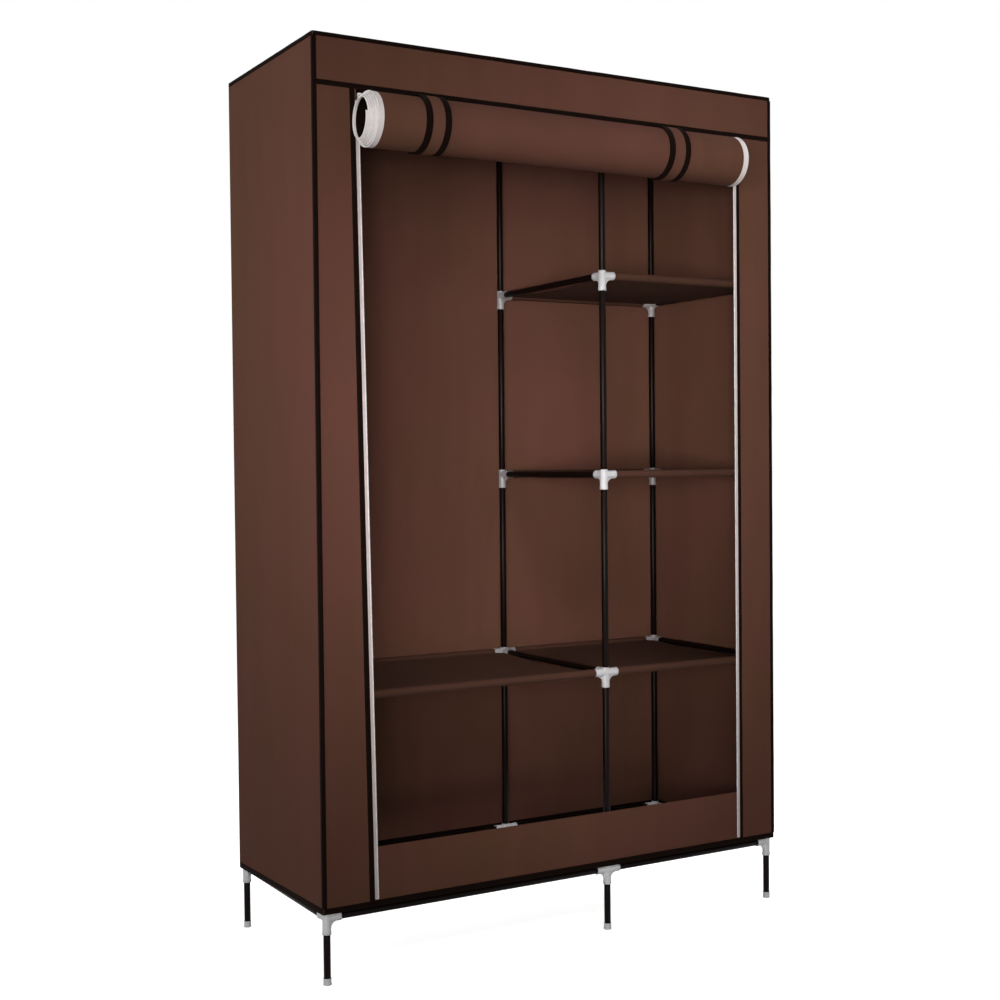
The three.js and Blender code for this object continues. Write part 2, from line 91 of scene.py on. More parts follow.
# Each lamp: name, place, what it faces, size, watts and spread in degrees
LAMPS = (
    ("fill", (-3.0, -5.4, 0.9), (0.1, 0.0, 1.15), 2.4, 16, 60),
    ("side", (-3.0, 0.0, 2.0), (-0.5, 0.05, 1.5), 1.2, 6.8, 90),
    ("doorway", (-1.5, -2.5, 0.88), (0.2, 0.05, 1.12), 0.6, 2.4, 34),
    ("right_inside", (-3.0, -2.6, 0.95), (0.35, 0.0, 1.1), 0.8, 2.1, 34),
    ("roll_end", (0.7, -2.8, 2.5), (0.36, -0.2, 1.62), 0.5, 0.27, 18),
    ("low_shelf", (-0.6, -2.2, 2.3), (0.0, 0.0, 0.52), 0.5, 0.65, 20),
    ("back", (0.9, 3.4, 1.9), (0.0, 0.25, 1.0), 2.0, 20, 90),
    ("right_side", (3.4, 0.6, 1.9), (0.5, 0.05, 1.0), 1.6, 14, 80),
)

# Tubes
TUBE_RADIUS = 0.0065
TUBE_WALL = 0.0006
TUBE_SIDES = 40
TUBE_BORE_DEPTH = 0.012
TUBE_ROUNDING = 0.0002

# Moulded sockets
SOCKET_RADIUS = 0.0079
SOCKET_BORE = 0.0067
SOCKET_REACH = 0.0265
SOCKET_STOP = 0.010
SOCKET_SIDES = 36
BARREL_BELOW = 0.030
BARREL_ABOVE = 0.010
BARREL_UPPER_STOP = 0.002
COLLAR_LENGTH = 0.006
COLLAR_RAISE = 0.0004
MOULD_ROUNDING = 0.0006
WEB_THICKNESS = 0.004
WEB_ROUND = 0.0125
ROD_COLLAR_LENGTH = 0.030
OVERRUN = 0.004
TOLERANCE = 1e-5
END_NORMAL = 0.99

# Feet
FOOT_RADIUS = 0.0078
FOOT_FLOOR = 0.003
FOOT_GROOVE = 0.0009
FOOT_RIM = 0.003
FOOT_TOP_SHARE = 0.94

# Cloth
CLOTH = 0.0009
CLOTH_CELL = 0.012
LEAST_CELLS = 8
SLACK = 0.0022
SLACK_SPAN = 0.19
EDGE_FADE = 0.06
FINE_SLACK_SHARE = 0.35
FINE_SLACK_SCALE = 2.7
ROOF_SAG = 0.006
SHELF_SAG = 0.008
SHELF_RIPPLE = 0.0012
SHELF_HEM = 0.011
SHELF_HEM_LAP = 1.15 * CLOTH
NOTCH_CLEARANCE = 0.001
NOTCH_FADE = 0.01
SKIRT_HEIGHT = 0.107
CLOTH_BEHIND_TAPE = 0.0045

# Bindings
BINDING = 0.0011
BINDING_CORNER_WIDTH = 0.0065
BINDING_HEM_HEIGHT = 0.010
BINDING_VALANCE = 0.0095
BINDING_LEFT_TAPE = 0.0105
BINDING_RIGHT_TAPE = 0.0085
BINDING_STEP = 0.02
BINDING_WAVE = 0.0003
BINDING_WAVE_SPAN = 0.05
BINDING_ROUND_SHARE = 0.45
HEM_ROUND_SHARE = 0.4
LEAST_SIDE_PER_ROUNDING = 2.1
COVER_CORNER = 0.004
COVER_CORNER_STEPS = 4
STITCH_ROW = 0.0032
STITCH_WIDTH = 0.0009
STITCH_PITCH = 0.0032

# Rolled door, as wound in the frame
ROLL_RADIUS = 0.050
CORE_RADIUS = 0.034
WOUND_CLOTH = 0.0015
ROLL_TURNS = 5.5
WINDING_STEPS = 56
WINDING_SHIFT = 0.0115
CORE_LEAN = 0.009
# The door's black lower binding is drawn over a whole innermost turn, far wider than a binding, as painted
# shade in the roll's hollow
SHADE_HEM_TURNS = 1.0
HEM_OVER_TAPE = 0.006
DOOR_TAPE = 0.012
DOOR_GAP = 0.0003
ROLL_BACK_GAP = 0.009
ROLL_TOP_GAP = 0.0152
SEAM_RUN = 0.006
SEAM_EASE = 0.007
ROLL_LUMP = 0.0007
ROLL_LUMP_SPAN = 0.16
ROLL_LUMP_ROUND = 0.9
DROP_ROWS = 150
DROP_SAMPLES = 2000
DROP_TAPER = 0.12
DROP_SLACK = 0.0022
DROP_SLACK_SPAN = 0.14
DROP_SLACK_SEED = 51.0
DROP_SLACK_POWER = 0.7

# Ties
TIE_BAND = 0.0125
TIE_STEPS = 72
TIE_EASE = 0.0011
TIE_BACK_GAP = 0.0006
TIE_STRAP_INSET = 0.001
TIE_BAND_RISE = 0.6 * BINDING

# Zips
TAPE_TOP_GAP = 0.001
TAPE_TUCK = 0.020
TAPE_THINNING = 0.0003
TOOTH_PITCH = 0.0018
TOOTH_RADIUS = 0.0011
TOOTH_SIDES = 6
TOOTH_GAP_SHARE = 0.55
TOOTH_WIDTH_SHARE = 1.4

# Patterns of the finishes
PRESSED_DOT_PITCH = 0.0034
PRESSED_DOT_DEPTH = 0.0002
FIBRE_DEPTH = 0.00025
TWILL_PITCH = 0.0011
TWILL_DEPTH = 0.0002
TAPE_ROW_PITCH = 0.0016
TAPE_WEAVE_DEPTH = 0.00015
ENAMEL_RIPPLE = 0.0002
MOULD_GRAIN = 0.0002
METAL_BRUSHING = 0.0001

SMOOTH_ANGLE = math.radians(38)


# Places from the frame

def middle(node):
    low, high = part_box(node)
    return (low + high) / 2


COLUMNS = ("left", "mid", "right")
ROWS = ("front", "back")
LEVELS = ("base", "low", "mid", "high", "top")
post_x = {column: middle(f"front_{column}_foot").x for column in COLUMNS}
post_y = {row: middle(f"{row}_left_foot").y for row in ROWS}
level_z = {level: middle(f"right_{level}_depth_rail").z for level in LEVELS}
AXES = {"left": (-1, 0), "right": (1, 0), "front": (0, -1), "back": (0, 1)}


# Modelling by hand

def deselect():
    bpy.ops.object.select_all(action="DESELECT")


def choose(piece):
    deselect()
    piece.select_set(True)
    bpy.context.view_layer.objects.active = piece


@contextmanager
def editing(piece):
    choose(piece)
    bpy.ops.object.mode_set(mode="EDIT")
    yield
    bpy.ops.object.mode_set(mode="OBJECT")


def pick(kind, test):
    """Selects what passes the test among the vertices, edges or faces of the piece in edit mode."""
    bpy.ops.mesh.select_mode(type=kind)
    bpy.ops.mesh.select_all(action="DESELECT")
    mesh = bpy.context.edit_object.data
    form = bmesh.from_edit_mesh(mesh)
    for part in {"VERT": form.verts, "EDGE": form.edges, "FACE": form.faces}[kind]:
        if test(part):
            part.select_set(True)
    bmesh.update_edit_mesh(mesh)


def is_end(face):
    return abs(face.normal.z) > END_NORMAL


def all_at_height(z):
    return lambda part: all(abs(v.co.z - z) < TOLERANCE for v in part.verts)


def settle(piece):
    choose(piece)
    bpy.ops.object.transform_apply(location=True, rotation=True, scale=True)
    return piece


def cylinder(name, radius, start, end, sides=SOCKET_SIDES):
    """An upright cylinder on the z axis, from start to end."""
    deselect()
    bpy.ops.mesh.primitive_cylinder_add(
        vertices=sides, radius=radius, depth=end - start, location=(0, 0, (start + end) / 2))
    piece = bpy.context.object
    piece.name = name
    return settle(piece)


def box(name, low, high):
    deselect()
    centre = (Vector(low) + Vector(high)) / 2
    bpy.ops.mesh.primitive_cube_add(size=1, location=centre, scale=Vector(high) - Vector(low))
    piece = bpy.context.object
    piece.name = name
    return settle(piece)


def turn_to(piece, direction):
    """Lays an upright piece along a direction (x, y), its foot staying at the origin."""
    turn = Vector((0, 0, 1)).rotation_difference(Vector((*direction, 0)))
    piece.data.transform(turn.to_matrix().to_4x4())
    return piece


def combine(base, others, operation):
    """Joins the others to the base, or cuts them from it, and uses them up."""
    for other in others:
        choose(base)
        step = base.modifiers.new("combine", "BOOLEAN")
        step.operation = operation
        step.solver = "EXACT"
        step.object = other
        bpy.ops.object.modifier_apply(modifier=step.name)
        spent = other.data
        bpy.data.objects.remove(other)
        bpy.data.meshes.remove(spent)
    return base


def copy_of(piece, name, matrix):
    """A copy with its own mesh, moved by the matrix."""
    mesh = piece.data.copy()
    mesh.transform(matrix)
    mesh.name = name
    made = bpy.data.objects.new(name, mesh)
    bpy.context.scene.collection.objects.link(made)
    return made


def face_outward(piece):
    with editing(piece):
        bpy.ops.mesh.select_all(action="SELECT")
        bpy.ops.mesh.normals_make_consistent(inside=False)
    return piece


# Materials

def paint(red, green, blue):
    """A colour in linear light, from the usual 0 to 255 values."""
    def linear(value):
        share = value / 255
        return share / 12.92 if share <= 0.04045 else ((share + 0.055) / 1.055) ** 2.4
    return (linear(red), linear(green), linear(blue), 1)


def grey(value):
    return (value, value, value, 1)


class Finish:
    """A material with short ways to add and link its nodes."""

    def __init__(self, name, **sockets):
        self.material = bpy.data.materials.new(name)
        self.material.use_nodes = True
        self.tree = self.material.node_tree
        self.shader = self.tree.nodes["Principled BSDF"]
        self.set(self.shader, sockets)

    def set(self, node, sockets):
        for key, value in sockets.items():
            socket = node.inputs[key if isinstance(key, int) else key.replace("_", " ")]
            if isinstance(value, bpy.types.NodeSocket):
                self.tree.links.new(value, socket)
            else:
                socket.default_value = value

    def node(self, kind, settings=None, **sockets):
        made = self.tree.nodes.new(kind)
        for key, value in (settings or {}).items():
            setattr(made, key, value)
        self.set(made, sockets)
        return made

    def math(self, operation, first, second=0.0):
        made = self.node("ShaderNodeMath", {"operation": operation})
        self.set(made, {0: first, 1: second})
        return made.outputs[0]

    def where(self, kind):
        """The object's own coordinates, or its flat cloth map, in metres."""
        return self.node("ShaderNodeTexCoord").outputs[kind]

    def noise(self, place, scale, detail=3.0, roughness=0.55):
        made = self.node(
            "ShaderNodeTexNoise", Vector=place, Scale=scale, Detail=detail, Roughness=roughness)
        return made.outputs["Fac"]

    def ramp(self, value, stops):
        """Colours or greys between shares of a value: stops are (share, colour)."""
        made = self.node("ShaderNodeValToRGB", Fac=value)
        colours = made.color_ramp.elements
        while len(colours) < len(stops):
            colours.new(1.0)
        for element, (share, colour) in zip(colours, stops):
            element.position = share
            element.color = colour
        return made.outputs["Color"]

    def mix(self, share, first, second, blend="MIX"):
        made = self.node("ShaderNodeMix", {"data_type": "RGBA", "blend_type": blend})
        self.set(made, {0: share, 6: first, 7: second})
        return made.outputs[2]

    def bump(self, height, strength, distance, below=None):
        made = self.node("ShaderNodeBump", Strength=strength, Distance=distance, Height=height)
        if below is not None:
            self.set(made, {"Normal": below})
        return made.outputs["Normal"]

    def waves(self, place, across, along, pitch):
        """A ripple of one pitch along the direction (across, along) of the flat map."""
        parts = self.node("ShaderNodeSeparateXYZ", Vector=place)
        run = self.math("ADD", self.math("MULTIPLY", parts.outputs[0], across),
                        self.math("MULTIPLY", parts.outputs[1], along))
        return self.math("SINE", self.math("MULTIPLY", run, math.tau / pitch))


def nonwoven(name, tones, light_share=0.5):
    """Pressed fibre cloth: blotches of tone, fine fibres and small pressed dots."""
    finish = Finish(name, Roughness=0.92, Sheen_Weight=0.04, Sheen_Roughness=0.6)
    shader = finish.shader.inputs
    shader["Sheen Tint"].default_value = tones[2]
    shader["Specular IOR Level"].default_value = 0.1
    place = finish.where("Object")
    flat = finish.where("UV")
    blotch = finish.noise(place, 3.1, 4.0, 0.6)
    streak = finish.node("ShaderNodeMapping", Vector=place, Scale=(7.0, 7.0, 1.3)).outputs[0]
    drift = finish.noise(streak, 2.6, 3.0, 0.5)
    base = finish.ramp(blotch, [(0.34, tones[0]), (0.66, tones[1])])
    base = finish.mix(finish.ramp(drift, [(0.4, grey(0)), (0.75, grey(light_share))]), base, tones[2])
    fibre = finish.noise(flat, 900.0, 2.0, 0.7)
    base = finish.mix(0.35, base, finish.ramp(fibre, [(0.3, grey(0.62)), (0.7, grey(1))]), "MULTIPLY")
    finish.set(finish.shader, {"Base Color": base})
    dots = finish.math("MULTIPLY", finish.waves(flat, 1, 1, PRESSED_DOT_PITCH),
                       finish.waves(flat, 1, -1, PRESSED_DOT_PITCH))
    pressed = finish.bump(dots, 0.35, PRESSED_DOT_DEPTH)
    finish.set(finish.shader, {"Normal": finish.bump(fibre, 0.3, FIBRE_DEPTH, pressed)})
    return finish.material


def bias_binding(name, colour, thread):
    """Twill tape folded over an edge, with a row of stitches on either side of its middle."""
    finish = Finish(name, Roughness=0.85)
    finish.shader.inputs["Specular IOR Level"].default_value = 0.03
    flat = finish.where("UV")
    twill = finish.waves(flat, 0.7, 0.7, TWILL_PITCH)
    worn = finish.noise(finish.where("Object"), 60.0, 3.0)
    shade = finish.mix(finish.math("MULTIPLY", worn, 0.4), colour, thread)
    weave = finish.ramp(twill, [(0.2, grey(0.7)), (0.8, grey(1))])
    shade = finish.mix(0.6, shade, weave, "MULTIPLY")
    parts = finish.node("ShaderNodeSeparateXYZ", Vector=flat).outputs
    from_middle = finish.math("ABSOLUTE", parts[1])
    off_row = finish.math("ABSOLUTE", finish.math("SUBTRACT", from_middle, STITCH_ROW))
    on_row = finish.math("LESS_THAN", off_row, STITCH_WIDTH / 2)
    dash = finish.math("GREATER_THAN", finish.waves(flat, 1, 0, STITCH_PITCH), -0.4)
    stitch = finish.math("MULTIPLY", on_row, dash)
    finish.set(finish.shader, {"Base Color": finish.mix(stitch, shade, thread)})
    height = finish.math("SUBTRACT", finish.math("MULTIPLY", twill, 0.4), on_row)
    relief = finish.math("ADD", height, stitch)
    finish.set(finish.shader, {"Normal": finish.bump(relief, 0.4, TWILL_DEPTH)})
    return finish.material


def woven_tape(name, colour, dark):
    """White zip tape: a fine herringbone, a little soiled in patches."""
    finish = Finish(name, Roughness=0.75, Sheen_Weight=0.1)
    flat = finish.where("UV")
    rows = finish.waves(flat, 0, 1, TAPE_ROW_PITCH)
    slant = finish.waves(flat, 1, 0.8, TWILL_PITCH)
    weave = finish.math("MULTIPLY", rows, slant)
    soil = finish.noise(finish.where("Object"), 22.0, 4.0)
    tone = finish.mix(finish.ramp(soil, [(0.45, grey(0)), (0.8, grey(0.6))]), colour, dark)
    shade = finish.ramp(weave, [(0.1, grey(0.8)), (0.7, grey(1))])
    finish.set(finish.shader, {"Base Color": finish.mix(0.5, tone, shade, "MULTIPLY")})
    finish.set(finish.shader, {"Normal": finish.bump(weave, 0.4, TAPE_WEAVE_DEPTH)})
    return finish.material


def enamel(name):
    """Black enamel on steel: dull patches, rubbed spots and a faint ripple."""
    finish = Finish(name, Metallic=0.0)
    finish.shader.inputs["Specular IOR Level"].default_value = 0.05
    place = finish.where("Object")
    dull = finish.noise(place, 35.0, 4.0)
    rubbed = finish.ramp(finish.noise(place, 160.0, 4.0, 0.7), [(0.66, grey(0)), (0.74, grey(0.3))])
    finish.set(finish.shader, {
        "Base Color": finish.mix(rubbed, paint(15, 8, 6), paint(46, 38, 35)),
        "Roughness": finish.ramp(dull, [(0.35, grey(0.28)), (0.75, grey(0.42))]),
        "Normal": finish.bump(finish.noise(place, 90.0, 1.0), 0.05, ENAMEL_RIPPLE),
    })
    return finish.material


def moulded_plastic(name, light, dark):
    """Injection-moulded plastic: fine grain and flow marks."""
    finish = Finish(name, Subsurface_Weight=0.0)
    finish.shader.inputs["Specular IOR Level"].default_value = 0.45
    place = finish.where("Object")
    flow = finish.noise(place, 45.0, 4.0, 0.6)
    grain = finish.noise(place, 1500.0, 2.0)
    finish.set(finish.shader, {
        "Base Color": finish.ramp(flow, [(0.3, dark), (0.7, light)]),
        "Roughness": finish.ramp(flow, [(0.3, grey(0.38)), (0.8, grey(0.55))]),
        "Normal": finish.bump(grain, 0.15, MOULD_GRAIN),
    })
    return finish.material


def teeth_nylon(name):
    finish = Finish(name, Roughness=0.4, Subsurface_Weight=0.1)
    place = finish.where("Object")
    tone = finish.noise(place, 120.0, 2.0)
    finish.set(finish.shader, {
        "Base Color": finish.ramp(tone, [(0.3, paint(214, 206, 202)), (0.7, paint(238, 232, 229))]),
    })
    return finish.material


def zip_metal(name):
    finish = Finish(name, Metallic=1.0)
    place = finish.where("Object")
    brushed = finish.node("ShaderNodeMapping", Vector=place, Scale=(1.0, 1.0, 12.0)).outputs[0]
    marks = finish.noise(brushed, 900.0, 3.0)
    finish.set(finish.shader, {
        "Base Color": finish.ramp(marks, [(0.3, paint(186, 184, 180)), (0.7, paint(222, 220, 216))]),
        "Roughness": finish.ramp(marks, [(0.3, grey(0.28)), (0.7, grey(0.45))]),
        "Normal": finish.bump(marks, 0.15, METAL_BRUSHING),
    })
    return finish.material


COVER_TONES = (paint(91, 61, 46), paint(96, 60, 51), paint(101, 66, 54))
# The shelves are cut from the cover's cloth; their darker tones are painted shade
SHADED_SHELF_TONES = (paint(66, 43, 32), paint(69, 44, 35), paint(73, 47, 38))
materials = {
    "cover": nonwoven("brown_nonwoven", COVER_TONES),
    "shelf": nonwoven("shelf_nonwoven_painted_shade", SHADED_SHELF_TONES),
    "binding": bias_binding("black_binding", paint(16, 8, 5), paint(32, 21, 17)),
    "tape": woven_tape("white_zip_tape", paint(206, 189, 186), paint(183, 166, 163)),
    "door_tape": woven_tape("white_door_tape", paint(232, 222, 219), paint(209, 198, 194)),
    "teeth": teeth_nylon("white_zip_teeth"),
    "enamel": enamel("black_enamel"),
    "plastic": moulded_plastic("white_moulding", paint(234, 233, 234), paint(220, 219, 221)),
    # Darker copies of the white moulding, as painted shade for the sockets in the bays, the second for the
    # back row
    "grey_plastic": moulded_plastic("painted_shade_moulding", paint(190, 187, 188), paint(172, 169, 170)),
    "deep_shaded_plastic": moulded_plastic("painted_deep_shade_moulding", paint(152, 146, 146), paint(136, 130, 130)),
    "metal": zip_metal("lacquered_zip_metal"),
}

made_pieces = []


def keep(piece, body, finish, nodes=()):
    """A finished piece: its body, its finish and the nodes that it stands for."""
    piece.data.materials.clear()
    piece.data.materials.append(materials[finish])
    if body:
        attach(piece, body)
    if nodes:
        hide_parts(*nodes)
    made_pieces.append(piece)
    return piece


# Frame: tubes

def model_tube(length):
    """A steel tube on the z axis about the origin, open at its ends."""
    piece = cylinder("tube_pattern", TUBE_RADIUS, -length / 2, length / 2, TUBE_SIDES)
    with editing(piece):
        pick("FACE", is_end)
        bpy.ops.mesh.inset(thickness=TUBE_WALL, use_individual=True)
        bpy.ops.mesh.inset(thickness=TUBE_ROUNDING / 4, depth=-TUBE_BORE_DEPTH, use_individual=True)
        rims = (all_at_height(length / 2), all_at_height(-length / 2))
        pick("EDGE", lambda e: any(rim(e) for rim in rims) and sum(map(is_end, e.link_faces)) == 1)
        bpy.ops.mesh.bevel(offset=TUBE_ROUNDING, segments=2, affect="EDGES")
    return piece


LAID = {
    "x": Matrix.Rotation(math.pi / 2, 4, "Y"),
    "y": Matrix.Rotation(-math.pi / 2, 4, "X"),
    "z": Matrix.Identity(4),
}
tube_patterns = {}


def tube(name, axis, start, end, centre, node):
    """A tube along an axis, from start to end, through the centre."""
    length = round(end - start, 5)
    if length not in tube_patterns:
        tube_patterns[length] = model_tube(length)
    place = Vector(centre)
    place["xyz".index(axis)] = (start + end) / 2
    piece = copy_of(tube_patterns[length], name, Matrix.Translation(place) @ LAID[axis])
    return keep(piece, FIXED, "enamel", [node])


def rails():
    for node in sorted(frame["nodes"]):
        low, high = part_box(node)
        if node.endswith("_depth_rail"):
            column, level = node.split("_")[:2]
            centre = (post_x[column], 0, level_z[level])
            tube(node + "_tube", "y", low.y, high.y, centre, node)
        elif "_rail" in node or node == "hanging_rod":
            tube(node + "_tube", "x", low.x, high.x, (low + high) / 2, node)


def post_tubes():
    for column in COLUMNS:
        for row in ROWS:
            node = f"{row}_{column}_post"
            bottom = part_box(node)[0].z
            for level in LEVELS:
                top = level_z[level] - SOCKET_STOP
                centre = (post_x[column], post_y[row], 0)
                tube(f"{node}_tube_{level}", "z", bottom, top, centre, node)
                bottom = level_z[level] - BARREL_UPPER_STOP


# Frame: moulded sockets

def collared_bar(name, start, end, collar_ends):
    """An upright moulded bar with a raised collar at its chosen ends."""
    bar = cylinder(name, SOCKET_RADIUS, start, end)
    with editing(bar):
        for height, sign in collar_ends:
            edge = height - sign * COLLAR_LENGTH
            bpy.ops.mesh.select_mode(type="FACE")
            bpy.ops.mesh.select_all(action="SELECT")
            bpy.ops.mesh.bisect(plane_co=(0, 0, edge), plane_no=(0, 0, 1))
            pick("FACE", lambda f: sign * (f.calc_center_median().z - edge) > 0 and not is_end(f))
            bpy.ops.mesh.extrude_region_shrink_fatten(
                TRANSFORM_OT_shrink_fatten={"value": COLLAR_RAISE, "use_even_offset": True})
        pick("EDGE", lambda e: any(all_at_height(h)(e) for h in (start, end)))
        bpy.ops.mesh.bevel(offset=MOULD_ROUNDING, segments=2, affect="EDGES")
    return bar


def web(direction):
    """The hollow-edged rib in the corner between an arm and the barrel."""
    half = WEB_THICKNESS / 2
    side = SOCKET_RADIUS + WEB_ROUND
    plate = box("web", (0, -half, -side), (side, half, 0))
    round_cut = cylinder("web_cut", WEB_ROUND, -WEB_THICKNESS, WEB_THICKNESS, SOCKET_SIDES)
    round_cut.data.transform(Matrix.Translation((side, 0, -side)) @ Matrix.Rotation(math.pi / 2, 4, "X"))
    combine(plate, [round_cut], "DIFFERENCE")
    plate.data.transform(Matrix.Rotation(math.atan2(direction[1], direction[0]), 4, "Z"))
    return plate


def model_socket(arms, closed_top):
    """One moulded socket about its level: a barrel on the post and an arm for each rail. Where the top
    rail runs through, one bore goes from side to side."""
    top = SOCKET_RADIUS if closed_top else BARREL_ABOVE
    runs_through = closed_top and {"left", "right"} <= set(arms)
    bore_end = SOCKET_REACH + OVERRUN
    body = collared_bar("socket_pattern", -BARREL_BELOW, top, [(-BARREL_BELOW, -1)])
    joined, cuts = [], []
    for arm in arms:
        direction = AXES[arm]
        joined.append(turn_to(collared_bar("arm", 0, SOCKET_REACH, [(SOCKET_REACH, 1)]), direction))
        joined.append(web(direction))
        if not (runs_through and arm in ("left", "right")):
            cuts.append(turn_to(cylinder("bore", SOCKET_BORE, SOCKET_STOP, bore_end), direction))
    if runs_through:
        cuts.append(turn_to(cylinder("bore", SOCKET_BORE, -bore_end, bore_end), AXES["right"]))
    cuts.append(cylinder("bore", SOCKET_BORE, -BARREL_BELOW - OVERRUN, -SOCKET_STOP))
    if not closed_top:
        cuts.append(cylinder("bore", SOCKET_BORE, -BARREL_UPPER_STOP, top + OVERRUN))
    combine(body, joined, "UNION")
    return combine(body, cuts, "DIFFERENCE")


def arms_of(column, row, level):
    inward = "back" if row == "front" else "front"
    sideways = {"left": ("right",), "mid": ("left", "right"), "right": ("left",)}[column]
    if level in ("base", "low", "top"):
        return (*sideways, inward)
    return {"left": (), "mid": ("right", inward), "right": ("left", inward)}[column]


def socket_finish(row, level):
    """All the mouldings are one white plastic; all but those at the base, which show under the cover, get
    darker copies of it as painted shade, the back row's darkest.
    """
    if level == "base":
        return "plastic"
    return "grey_plastic" if row == "front" else "deep_shaded_plastic"


def sockets():
    patterns = {}
    for column in COLUMNS:
        for row in ROWS:
            for level in LEVELS:
                key = (arms_of(column, row, level), level == "top")
                if key not in patterns:
                    patterns[key] = model_socket(*key)
                place = Matrix.Translation((post_x[column], post_y[row], level_z[level]))
                piece = copy_of(patterns[key], f"{row}_{column}_{level}_socket", place)
                keep(piece, FIXED, socket_finish(row, level), [f"{row}_{column}_post"])
    for pattern in patterns.values():
        bpy.data.objects.remove(pattern)


def rod_sockets():
    """The collar and arm on each top depth rail that hold the hanging rod: one form, which the mid
    rail's copy has turned half round."""
    half = ROD_COLLAR_LENGTH / 2
    pattern = turn_to(collared_bar("rod_pattern", -half, half, [(-half, -1), (half, 1)]), AXES["back"])
    branch = turn_to(collared_bar("arm", 0, SOCKET_REACH, [(SOCKET_REACH, 1)]), AXES["right"])
    bore = turn_to(cylinder("bore", SOCKET_BORE, SOCKET_STOP, SOCKET_REACH + OVERRUN), AXES["right"])
    through = turn_to(cylinder("bore", SOCKET_BORE, -half - OVERRUN, half + OVERRUN), AXES["back"])
    combine(pattern, [branch], "UNION")
    combine(pattern, [bore, through], "DIFFERENCE")
    for column, turn in (("left", 0), ("mid", math.pi)):
        place = Matrix.Translation((post_x[column], middle("hanging_rod").y, level_z["top"]))
        piece = copy_of(pattern, f"{column}_rod_socket", place @ Matrix.Rotation(turn, 4, "Z"))
        keep(piece, FIXED, "plastic", [f"{column}_top_depth_rail"])
    bpy.data.objects.remove(pattern)


def feet():
    low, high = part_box("front_left_foot")
    height = high.z - low.z
    pattern = cylinder("foot_pattern", FOOT_RADIUS, 0, height, TUBE_SIDES)
    with editing(pattern):
        pick("EDGE", all_at_height(0))
        bpy.ops.mesh.bevel(offset=MOULD_ROUNDING * 2, segments=3, affect="EDGES")
        pick("VERT", lambda v: abs(v.co.z - height) < TOLERANCE)
        bpy.ops.transform.resize(value=(FOOT_TOP_SHARE, FOOT_TOP_SHARE, 1), center_override=(0, 0, height))
        for rim in (FOOT_RIM, height - FOOT_RIM):
            bpy.ops.mesh.select_mode(type="FACE")
            bpy.ops.mesh.select_all(action="SELECT")
            bpy.ops.mesh.bisect(plane_co=(0, 0, rim), plane_no=(0, 0, 1))
        pick("FACE", lambda f: FOOT_RIM < f.calc_center_median().z < height - FOOT_RIM)
        bpy.ops.mesh.inset(thickness=MOULD_ROUNDING / 2, depth=-FOOT_GROOVE / 2)
        pick("FACE", lambda f: is_end(f) and f.calc_center_median().z > height / 2)
        bpy.ops.mesh.inset(thickness=FOOT_RADIUS * FOOT_TOP_SHARE - SOCKET_BORE)
        bpy.ops.mesh.inset(thickness=TUBE_ROUNDING / 4, depth=FOOT_FLOOR - height)
    for column in COLUMNS:
        for row in ROWS:
            node = f"{row}_{column}_foot"
            place = Matrix.Translation((post_x[column], post_y[row], 0))
            keep(copy_of(pattern, f"{node}_cap", place), FIXED, "plastic", [node])
    bpy.data.objects.remove(pattern)


# Cloth

X, Y, Z = Vector((1, 0, 0)), Vector((0, 1, 0)), Vector((0, 0, 1))


def cloth(name, points, flat, thickness=CLOTH):
    """Cloth of one thickness through a grid of points, with its flat cut as its map."""
    rows, columns = points.shape[:2]
    index = np.arange(rows * columns).reshape(rows, columns)
    corners = np.stack([index[:-1, :-1], index[:-1, 1:], index[1:, 1:], index[1:, :-1]], axis=-1)
    corners = corners.reshape(-1, 4)
    mesh = bpy.data.meshes.new(name)
    mesh.from_pydata(points.reshape(-1, 3).tolist(), [], corners.tolist())
    layer = mesh.uv_layers.new(name="flat_cut")
    layer.data.foreach_set("uv", flat.reshape(-1, 2)[corners.reshape(-1)].astype(np.float32).ravel())
    piece = bpy.data.objects.new(name, mesh)
    bpy.context.scene.collection.objects.link(piece)
    choose(piece)
    wall = piece.modifiers.new("wall", "SOLIDIFY")
    wall.thickness = thickness
    wall.offset = 0
    wall.use_even_offset = True
    bpy.ops.object.modifier_apply(modifier=wall.name)
    return face_outward(piece)


def soft_noise(u, v, seed, span=SLACK_SPAN):
    """A smooth height from -1 to 1 over the cloth."""
    place = Vector((u / span, v / span, seed))
    return noise.noise(place) + FINE_SLACK_SHARE * noise.noise(place * FINE_SLACK_SCALE)


def edge_fade(distance, fade=EDGE_FADE):
    share = min(1.0, max(0.0, distance / fade))
    return share * share * (3 - 2 * share)


def panel(name, corner, across, up, outward, seed, sides=None, slack=SLACK, sag=None, drop=0.0):
    """A flat cut of cloth from a corner, across and up, a little slack between its seams.
    sides gives the shares of the width where it starts and ends at a share of its height,
    and drop is how far its lower edge falls from its first side to its last."""
    corner, across, up, outward = (Vector(v) for v in (corner, across, up, outward))
    width, height = across.length, up.length
    columns = max(LEAST_CELLS, round(width / CLOTH_CELL)) + 1
    rows = max(LEAST_CELLS, round(height / CLOTH_CELL)) + 1
    points = np.zeros((rows, columns, 3))
    flat = np.zeros((rows, columns, 2))
    for row, t in enumerate(np.linspace(0, 1, rows)):
        start, end = sides(t) if sides else (0, 1)
        for column, s in enumerate(np.linspace(start, end, columns)):
            u, v = s * width, t * height
            near = min(u - start * width, end * width - u, v, height - v)
            proud = slack * max(0.0, 0.5 + soft_noise(u, v, seed)) * edge_fade(near)
            if sag:
                proud -= sag(u, v) * edge_fade(near)
            lower = drop * s * (1 - t)
            points[row, column] = corner + across * s + up * t + outward * proud - Z * lower
            flat[row, column] = (u, v - lower)
    return cloth(name, points, flat)


